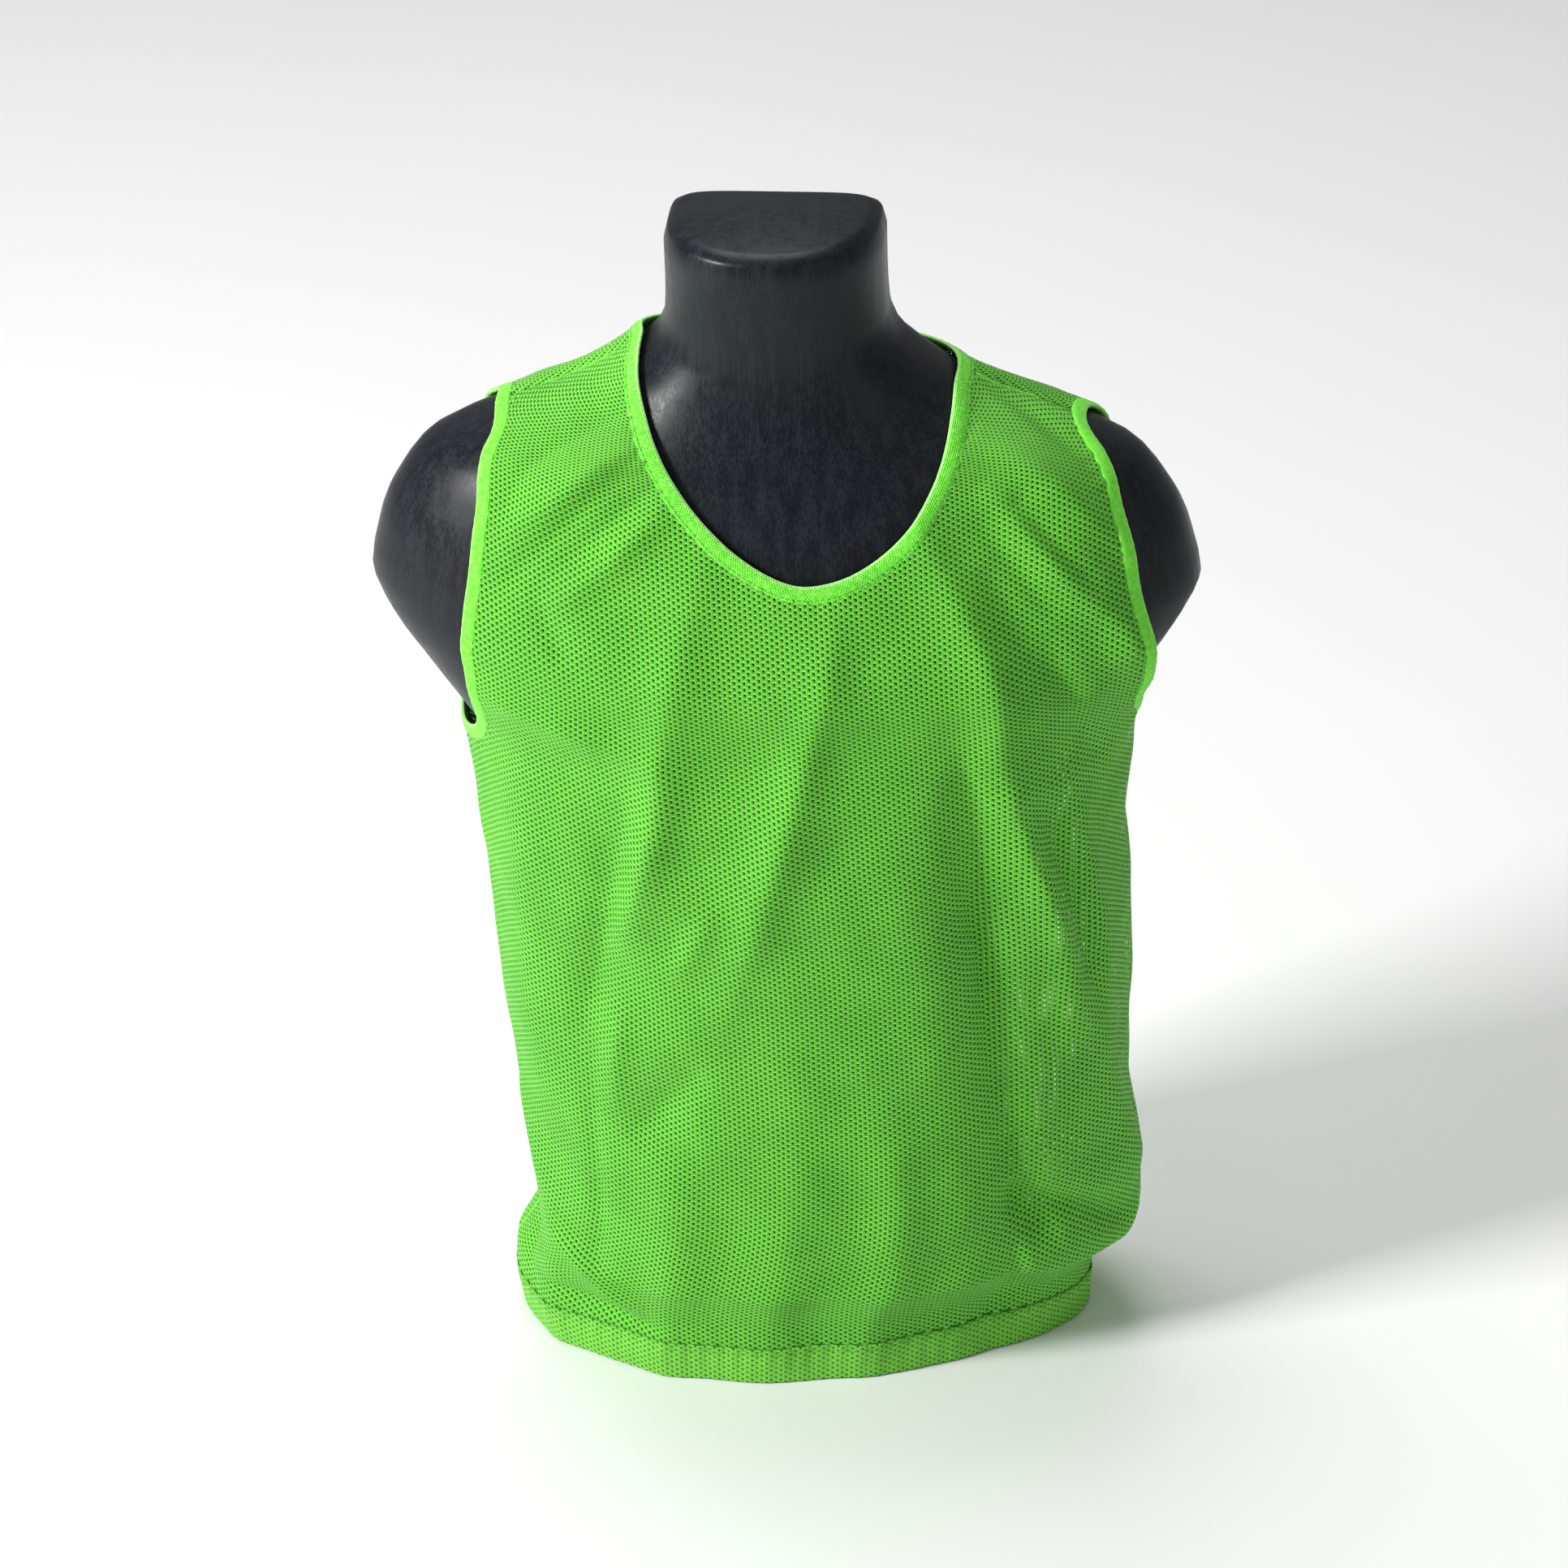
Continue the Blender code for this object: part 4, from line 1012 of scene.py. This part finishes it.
def turnOutwards(made):
    bpy.context.view_layer.objects.active = made
    made.select_set(True)
    bpy.ops.object.mode_set(mode="EDIT")
    bpy.ops.mesh.select_all(action="SELECT")
    bpy.ops.mesh.normals_make_consistent(inside=False)
    bpy.ops.object.mode_set(mode="OBJECT")
    made.select_set(False)


def bindingObject(name, node, edge, width, material, groove, grooveDepth):
    angle = np.linspace(0.0, 2 * math.pi, binding["around"], endpoint=False)
    c, s = np.cos(angle), np.sin(angle)
    share = 0.5 - 0.5 * np.sign(c) * np.abs(c) ** 0.72
    above = binding["middle"] + binding["thickness"] / 2 * np.sign(s) * np.abs(s) ** 0.72
    fromGroove = (share * width - groove) / 0.7
    above = above - np.where(s > 0, grooveDepth * np.exp(-(fromGroove**2)), 0.0)
    rings = []
    for place, lift in zip(share, above):
        turn, height = widened(edge, place * width)
        rings.append(clothPoint(turn, height) + clothNormal(turn, height) * lift)
    points = np.stack(rings, axis=1)
    middleLine = points.mean(axis=1)
    steps = np.linalg.norm(np.roll(middleLine, -1, axis=0) - middleLine, axis=1)
    run = np.append(0.0, np.cumsum(steps))
    wave = 0.18 * np.sin(2 * math.pi * run[:-1] / 6.3 + 1.3 * np.sin(run[:-1] / 17.0))
    turn, height = widened(edge, width / 2)
    lifted = clothNormal(turn, height)
    points += (lifted * wave[:, None])[:, None, :] * (s > -0.2)[None, :, None]
    around = np.append(share * width, share[0] * width)
    made = sweptStrip(name, points, True, run, around, material)
    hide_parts(node)
    return made


neckBinding = bindingObject(
    "neckBinding", "neck_binding", neckEdge(), binding["neckWidth"], neckKnit, 8.0, 0.5
)
armholeBindings = [
    bindingObject(
        "armholeBinding" + name.capitalize(), "armhole_binding_" + name, armholeEdge(name),
        binding["armholeWidth"], armholeKnit, 4.6, 0.35,
    )
    for name in ("left", "right")
]
print("bindings made")


def hemObject(panel):
    # the cloth turned up once: outer layer, fold and inner layer, one closed strip
    middle = 0.0 if panel == "front" else 2.0
    gapTurn = 0.15 / float(halfLength(middle, np.array([1.0]), np.array([10.0]))[0])
    turn = np.linspace(middle - 1 + gapTurn, middle + 1 - gapTurn, hemShape["steps"] + 1)
    rows = np.linspace(1.0, 0.05, hemShape["rows"])
    outerLine = [(share, 0.55) for share in rows]
    fold = [(0.02, 0.35), (0.0, -0.1), (-0.008, -0.8), (0.0, -1.5), (0.02, -1.95)]
    innerLine = [(share, -2.15) for share in rows[::-1]]
    innerTop = [(0.985, -1.75)]
    cavity = [(share, -1.4) for share in (0.97, 0.6, 0.2)]
    cavityFold = [(0.05, -1.1), (0.045, -0.8), (0.05, -0.4)]
    back = [(share, -0.2) for share in (0.2, 0.6, 0.97)]
    section = outerLine + fold + innerLine + innerTop + cavity + cavityFold + back
    run = (turn - middle) * halfLength(middle, turn - middle, np.full(len(turn), 10.0))
    rings = []
    wave = 0.35 * np.sin(2 * math.pi * run / 11.0 + 1.6 * np.sin(run / 31.0))
    for share, above in section:
        height = np.full(len(turn), hemShape["lift"] + max(share, 0.0) * hemShape["depth"])
        place = clothPoint(turn, height)
        place[:, 2] += min(share, 0.0) * hemShape["depth"]
        lift = above + wave * (0.3 + 0.7 * abs(share))
        rings.append(place + clothNormal(turn, height) * lift[:, None])
    points = np.stack(rings, axis=1)
    around = []
    travelled = hemShape["lift"] + hemShape["depth"]
    for k, (share, _) in enumerate(section):
        if k:
            travelled -= np.hypot(
                (section[k][0] - section[k - 1][0]) * hemShape["depth"], section[k][1] - section[k - 1][1]
            )
        around.append(travelled)
    around.append(travelled)
    made = sweptStrip("hem" + panel.capitalize(), points, False, run, np.array(around), hemKnit)
    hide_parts("hem_" + panel)
    return made


hemFront = hemObject("front")
hemBack = hemObject("back")
print("hems made")

# Sewing: the overlocked seams and the rows of stitches.

seamShape = {"halfWidth": 3.2, "top": -1.0, "bottom": -1.9}


def seamObject(name, seam, low, high, steps):
    height = np.linspace(low, high, steps + 1)
    turn = np.full(len(height), seam)
    byTurn, _ = slopesAt(smoothPoint, turn, height)
    perTurn = np.linalg.norm(byTurn, axis=-1)
    section = []
    for k in range(12):
        angle = 2 * math.pi * k / 12
        middle, half = (seamShape["top"] + seamShape["bottom"]) / 2, (seamShape["top"] - seamShape["bottom"]) / 2
        section.append((seamShape["halfWidth"] * math.cos(angle), middle + half * math.sin(angle)))
    base, normal = clothPoint(turn, height), clothNormal(turn, height)
    rings = []
    wave = 0.12 * np.sin(2 * math.pi * height / 2.4)
    for aside, above in section:
        place = clothPoint(turn + aside / perTurn, height)
        rings.append(place + normal * (above + wave)[:, None])
    points = np.stack(rings, axis=1)
    run = np.append(0.0, np.cumsum(np.linalg.norm(np.diff(base, axis=0), axis=1)))
    around = np.linspace(0.0, 4 * seamShape["halfWidth"], 13)
    made = sweptStrip(name, points, False, run, around, seamThread)
    return made


for side, seam in (("Left", -1.0), ("Right", 1.0)):
    armhole = armholes[side.lower()]
    foot = hemShape["lift"] + hemShape["depth"] + 0.6
    seamObject("sideSeam" + side, seam, foot, armhole["low"] - 9.6, 220)
    neckTop = float(neckEdge()[1][0 if side == "Left" else neck["frontSteps"]])
    seamObject("shoulderSeam" + side, seam, armhole["high"] + 9.6, neckTop - 6.0, 20)

stitch = {"length": 2.6, "gap": 0.7, "radius": 0.22}


def stitchRow(name, line, normal, closed, slant=0.0):
    # small grains of thread laid end to end along a line
    if closed:
        line = np.vstack([line, line[:1]])
        normal = np.vstack([normal, normal[:1]])
    run = np.append(0.0, np.cumsum(np.linalg.norm(np.diff(line, axis=0), axis=1)))
    pitch = stitch["length"] + stitch["gap"]
    count = int(run[-1] / pitch)
    starts = (np.arange(count) + 0.5) * run[-1] / count
    at = lambda values, where: np.stack([np.interp(where, run, values[:, k]) for k in range(3)], axis=1)
    centre, up = at(line, starts), at(normal, starts)
    along = at(line, starts + 0.5) - at(line, starts - 0.5)
    along /= np.linalg.norm(along, axis=1, keepdims=True)
    beside = np.cross(up, along)
    way = along * math.cos(slant) + beside * math.sin(slant)
    beside = np.cross(up, way)
    rings = ((-0.5, 0.0), (-0.38, 0.75), (0.0, 1.0), (0.38, 0.75), (0.5, 0.0))
    points, faces = [], []
    sides = 6
    for part, wide in rings:
        around = 1 if wide == 0 else sides
        for k in range(around):
            angle = 2 * math.pi * k / sides
            offset = beside * math.cos(angle) * wide * stitch["radius"] + up * math.sin(angle) * wide * stitch["radius"]
            arch = up * (1 - (2 * part) ** 2) * 0.25 * stitch["radius"]
            points.append(centre + way * part * stitch["length"] + offset + arch)
    each = len(points)
    stacked = np.stack(points, axis=1).reshape(-1, 3)
    one = [(0, 1 + (k + 1) % sides, 1 + k) for k in range(sides)]
    for ring in range(2):
        a, b = 1 + ring * sides, 1 + (ring + 1) * sides
        one += [(a + k, a + (k + 1) % sides, b + (k + 1) % sides, b + k) for k in range(sides)]
    last = 1 + 2 * sides
    one += [(last + k, last + (k + 1) % sides, each - 1) for k in range(sides)]
    for i in range(count):
        faces += [tuple(i * each + v for v in face) for face in one]
    made = newObject(name, stacked, faces, stitchThread)
    turnOutwards(made)
    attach(made, "root")
    return made


def sewAlong(name, turn, height, above, closed, slant=0.0):
    normal = clothNormal(turn, height)
    stitchRow(name, clothPoint(turn, height) + normal * above, normal, closed, slant)


sewAlong("neckStitches", *widened(neckEdge(), 8.0), 0.45, True)
for name in ("left", "right"):
    sewAlong("armholeStitches" + name.capitalize(), *widened(armholeEdge(name), 4.6), 0.5, True)
for panel, middle in (("Front", 0.0), ("Back", 2.0)):
    turn = np.linspace(middle - 0.995, middle + 0.995, 500)
    for row, down in enumerate((1.8, 4.4)):
        height = np.full(500, hemShape["lift"] + hemShape["depth"] - down)
        sewAlong("hemStitches%s%d" % (panel, row + 1), turn, height, 0.62, False)
print("sewing made")

# The dress form: a cylinder whose rings take the sections, then the stumps are cut and rounded.

shell = {
    "around": 128, "ringGap": 5.0, "stumpTop": (236.0, 500.0), "stumpLean": 0.72, "stumpLow": 405.0,
    "cutter": 300.0, "edgeRound": 2.2,
}


def formHeights():
    heights = []
    rows = [row[0] for row in formRows]
    for low, high in zip(rows, rows[1:]):
        between = max(2, round((high - low) / shell["ringGap"]))
        heights += [low + (high - low) * i / between for i in range(between)]
    return np.array(heights + [rows[-1]])


def formRing(height, around):
    angle = 2 * math.pi * np.arange(around) / around
    size = {name: np.full(around, float(form.at(name, np.array([height]))[0])) for name in formNames[1:]}
    c, s = np.cos(angle), np.sin(angle)
    ahead = s < 0
    power = np.where(ahead, size["roundFront"], size["roundBack"])
    deep = np.where(ahead, size["front"], size["back"]) - size["side"]
    # even steps round the section rather than even angles
    share = 1 - np.abs(np.arcsin(np.clip(c, -1, 1))) / (math.pi / 2)
    along, out = corner(share, size["halfWidth"], np.abs(deep), power)
    x = np.sign(c) * size["halfWidth"] * along
    x[np.abs(c) < 1e-9] = 0.0
    y = size["side"] + deep * out
    return np.stack([x, y, np.full(around, height)], axis=1)


def dressForm():
    heights = formHeights()
    around = shell["around"]
    bpy.ops.mesh.primitive_cylinder_add(
        vertices=around, radius=0.1, depth=0.72, end_fill_type="NGON", location=(0, 0, 0.36)
    )
    made = bpy.context.object
    made.name = made.data.name = "dressForm"
    bpy.ops.object.transform_apply(location=True, rotation=True, scale=True)
    mesh = made.data
    for vertex in mesh.vertices:
        vertex.select = False
    for edge in mesh.edges:
        a, b = (mesh.vertices[i].co for i in edge.vertices)
        edge.select = abs(a.z - b.z) > 0.1
    for polygon in mesh.polygons:
        polygon.select = False
    bpy.ops.object.mode_set(mode="EDIT")
    bpy.context.tool_settings.mesh_select_mode = (False, True, False)
    bpy.ops.mesh.subdivide(number_cuts=len(heights) - 2)
    bpy.ops.object.mode_set(mode="OBJECT")
    places = np.zeros(len(mesh.vertices) * 3)
    mesh.vertices.foreach_get("co", places)
    places = places.reshape(-1, 3)
    ring = np.rint(places[:, 2] / 0.72 * (len(heights) - 1)).astype(int)
    spot = np.rint(np.arctan2(places[:, 1], places[:, 0]) / (2 * math.pi) * around).astype(int) % around
    rings = np.stack([formRing(h, around) for h in heights])
    mesh.vertices.foreach_set("co", (rings[ring, spot] * mm).ravel())
    mesh.update()
    for sign in (-1, 1):
        cutStump(made, sign)
    made.data.materials.clear()
    made.data.materials.append(satinShell)
    bevel = made.modifiers.new("rounded edges", "BEVEL")
    bevel.width = shell["edgeRound"] * mm
    bevel.segments = 3
    bevel.limit_method = "ANGLE"
    bevel.angle_limit = math.radians(38)
    bpy.context.view_layer.objects.active = made
    made.select_set(True)
    bpy.ops.object.modifier_apply(modifier=bevel.name)
    bpy.ops.object.shade_smooth_by_angle(angle=math.radians(34))
    made.select_set(False)
    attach(made, "root")
    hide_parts("dress_form")
    return made


def cutStump(made, sign):
    lean = math.atan(shell["stumpLean"])
    topX, topZ = shell["stumpTop"]
    cornerX = topX - (topZ - shell["stumpLow"]) * shell["stumpLean"]
    half = shell["cutter"] / 2
    x = cornerX + half * math.cos(lean) + half * math.sin(lean)
    z = shell["stumpLow"] - half * math.sin(lean) + half * math.cos(lean)
    bpy.ops.mesh.primitive_cube_add(
        size=shell["cutter"] * mm, location=(sign * x * mm, 0, z * mm), rotation=(0, sign * lean, 0)
    )
    cutter = bpy.context.object
    cutter.select_set(False)
    cut = made.modifiers.new("stump", "BOOLEAN")
    cut.operation = "DIFFERENCE"
    cut.solver = "EXACT"
    cut.object = cutter
    bpy.context.view_layer.objects.active = made
    made.select_set(True)
    bpy.ops.object.modifier_apply(modifier=cut.name)
    made.select_set(False)
    bpy.data.objects.remove(cutter, do_unlink=True)


formPiece = dressForm()
print("dress form made", len(formPiece.data.polygons), "faces")

# Floor, light and camera.

studio = {
    "floor": (0.86, 0.86, 0.86),
    "world": 0.27,
    "key": {"place": (-3.0, -1.7, 2.1), "size": 0.9, "power": 185.0},
    "fill": {"place": (2.6, -2.0, 1.3), "size": 2.2, "power": 8.0},
    "top": {"place": (-0.4, 0.9, 3.2), "size": 1.8, "power": 52.0},
}


def studioLight(name, place, size, power):
    data = bpy.data.lights.new(name, "AREA")
    data.shape = "SQUARE"
    data.size = size
    data.energy = power
    lamp = bpy.data.objects.new(name, data)
    lamp.location = place
    lamp.rotation_euler = (Vector((0, 0, 0.36)) - Vector(place)).to_track_quat("-Z", "Y").to_euler()
    scene.collection.objects.link(lamp)


def studioFloor():
    bpy.ops.mesh.primitive_plane_add(size=24.0, location=(0, 0, 0))
    made = bpy.context.object
    made.name = "floor"
    material, tree, shader = newMaterial("pale floor")
    place = tree.nodes.new("ShaderNodeTexCoord").outputs["Object"]
    shade = mixColours(tree, noiseNode(tree, place, 3.0), studio["floor"], (0.88, 0.88, 0.88))
    tree.links.new(shade, shader.inputs["Base Color"])
    shader.inputs["Roughness"].default_value = 0.9
    shader.inputs["Specular IOR Level"].default_value = 0.1
    made.data.materials.append(material)
    made.select_set(False)


def studioWorld():
    world = bpy.data.worlds.new("studio")
    world.use_nodes = True
    sky = world.node_tree.nodes["Background"]
    sky.inputs["Color"].default_value = (1.0, 1.0, 1.0, 1.0)
    sky.inputs["Strength"].default_value = studio["world"]
    scene.world = world


view = {
    "target": (-0.004, 0.0, 0.355), "distance": 3.6, "azimuth": 6.0, "elevation": 29.0, "roll": 1.6,
    "lens": 142.7,
}


def studioCamera():
    a, e, r = (math.radians(view[name]) for name in ("azimuth", "elevation", "roll"))
    right = Vector((math.cos(a), math.sin(a), 0))
    look = Vector((-math.sin(a) * math.cos(e), math.cos(a) * math.cos(e), -math.sin(e)))
    up = right.cross(look)
    rolledRight = right * math.cos(r) - up * math.sin(r)
    rolledUp = up * math.cos(r) + right * math.sin(r)
    data = bpy.data.cameras.new("camera")
    data.lens = view["lens"]
    data.sensor_width = 36.0
    camera = bpy.data.objects.new("camera", data)
    turned = Matrix((rolledRight, rolledUp, -look)).transposed()
    camera.matrix_world = Matrix.Translation(Vector(view["target"]) - look * view["distance"]) @ turned.to_4x4()
    scene.collection.objects.link(camera)
    scene.camera = camera


studioFloor()
studioWorld()
for name in ("key", "fill", "top"):
    studioLight(name, **studio[name])
studioCamera()
scene.view_settings.view_transform = "Standard"
print("studio made")
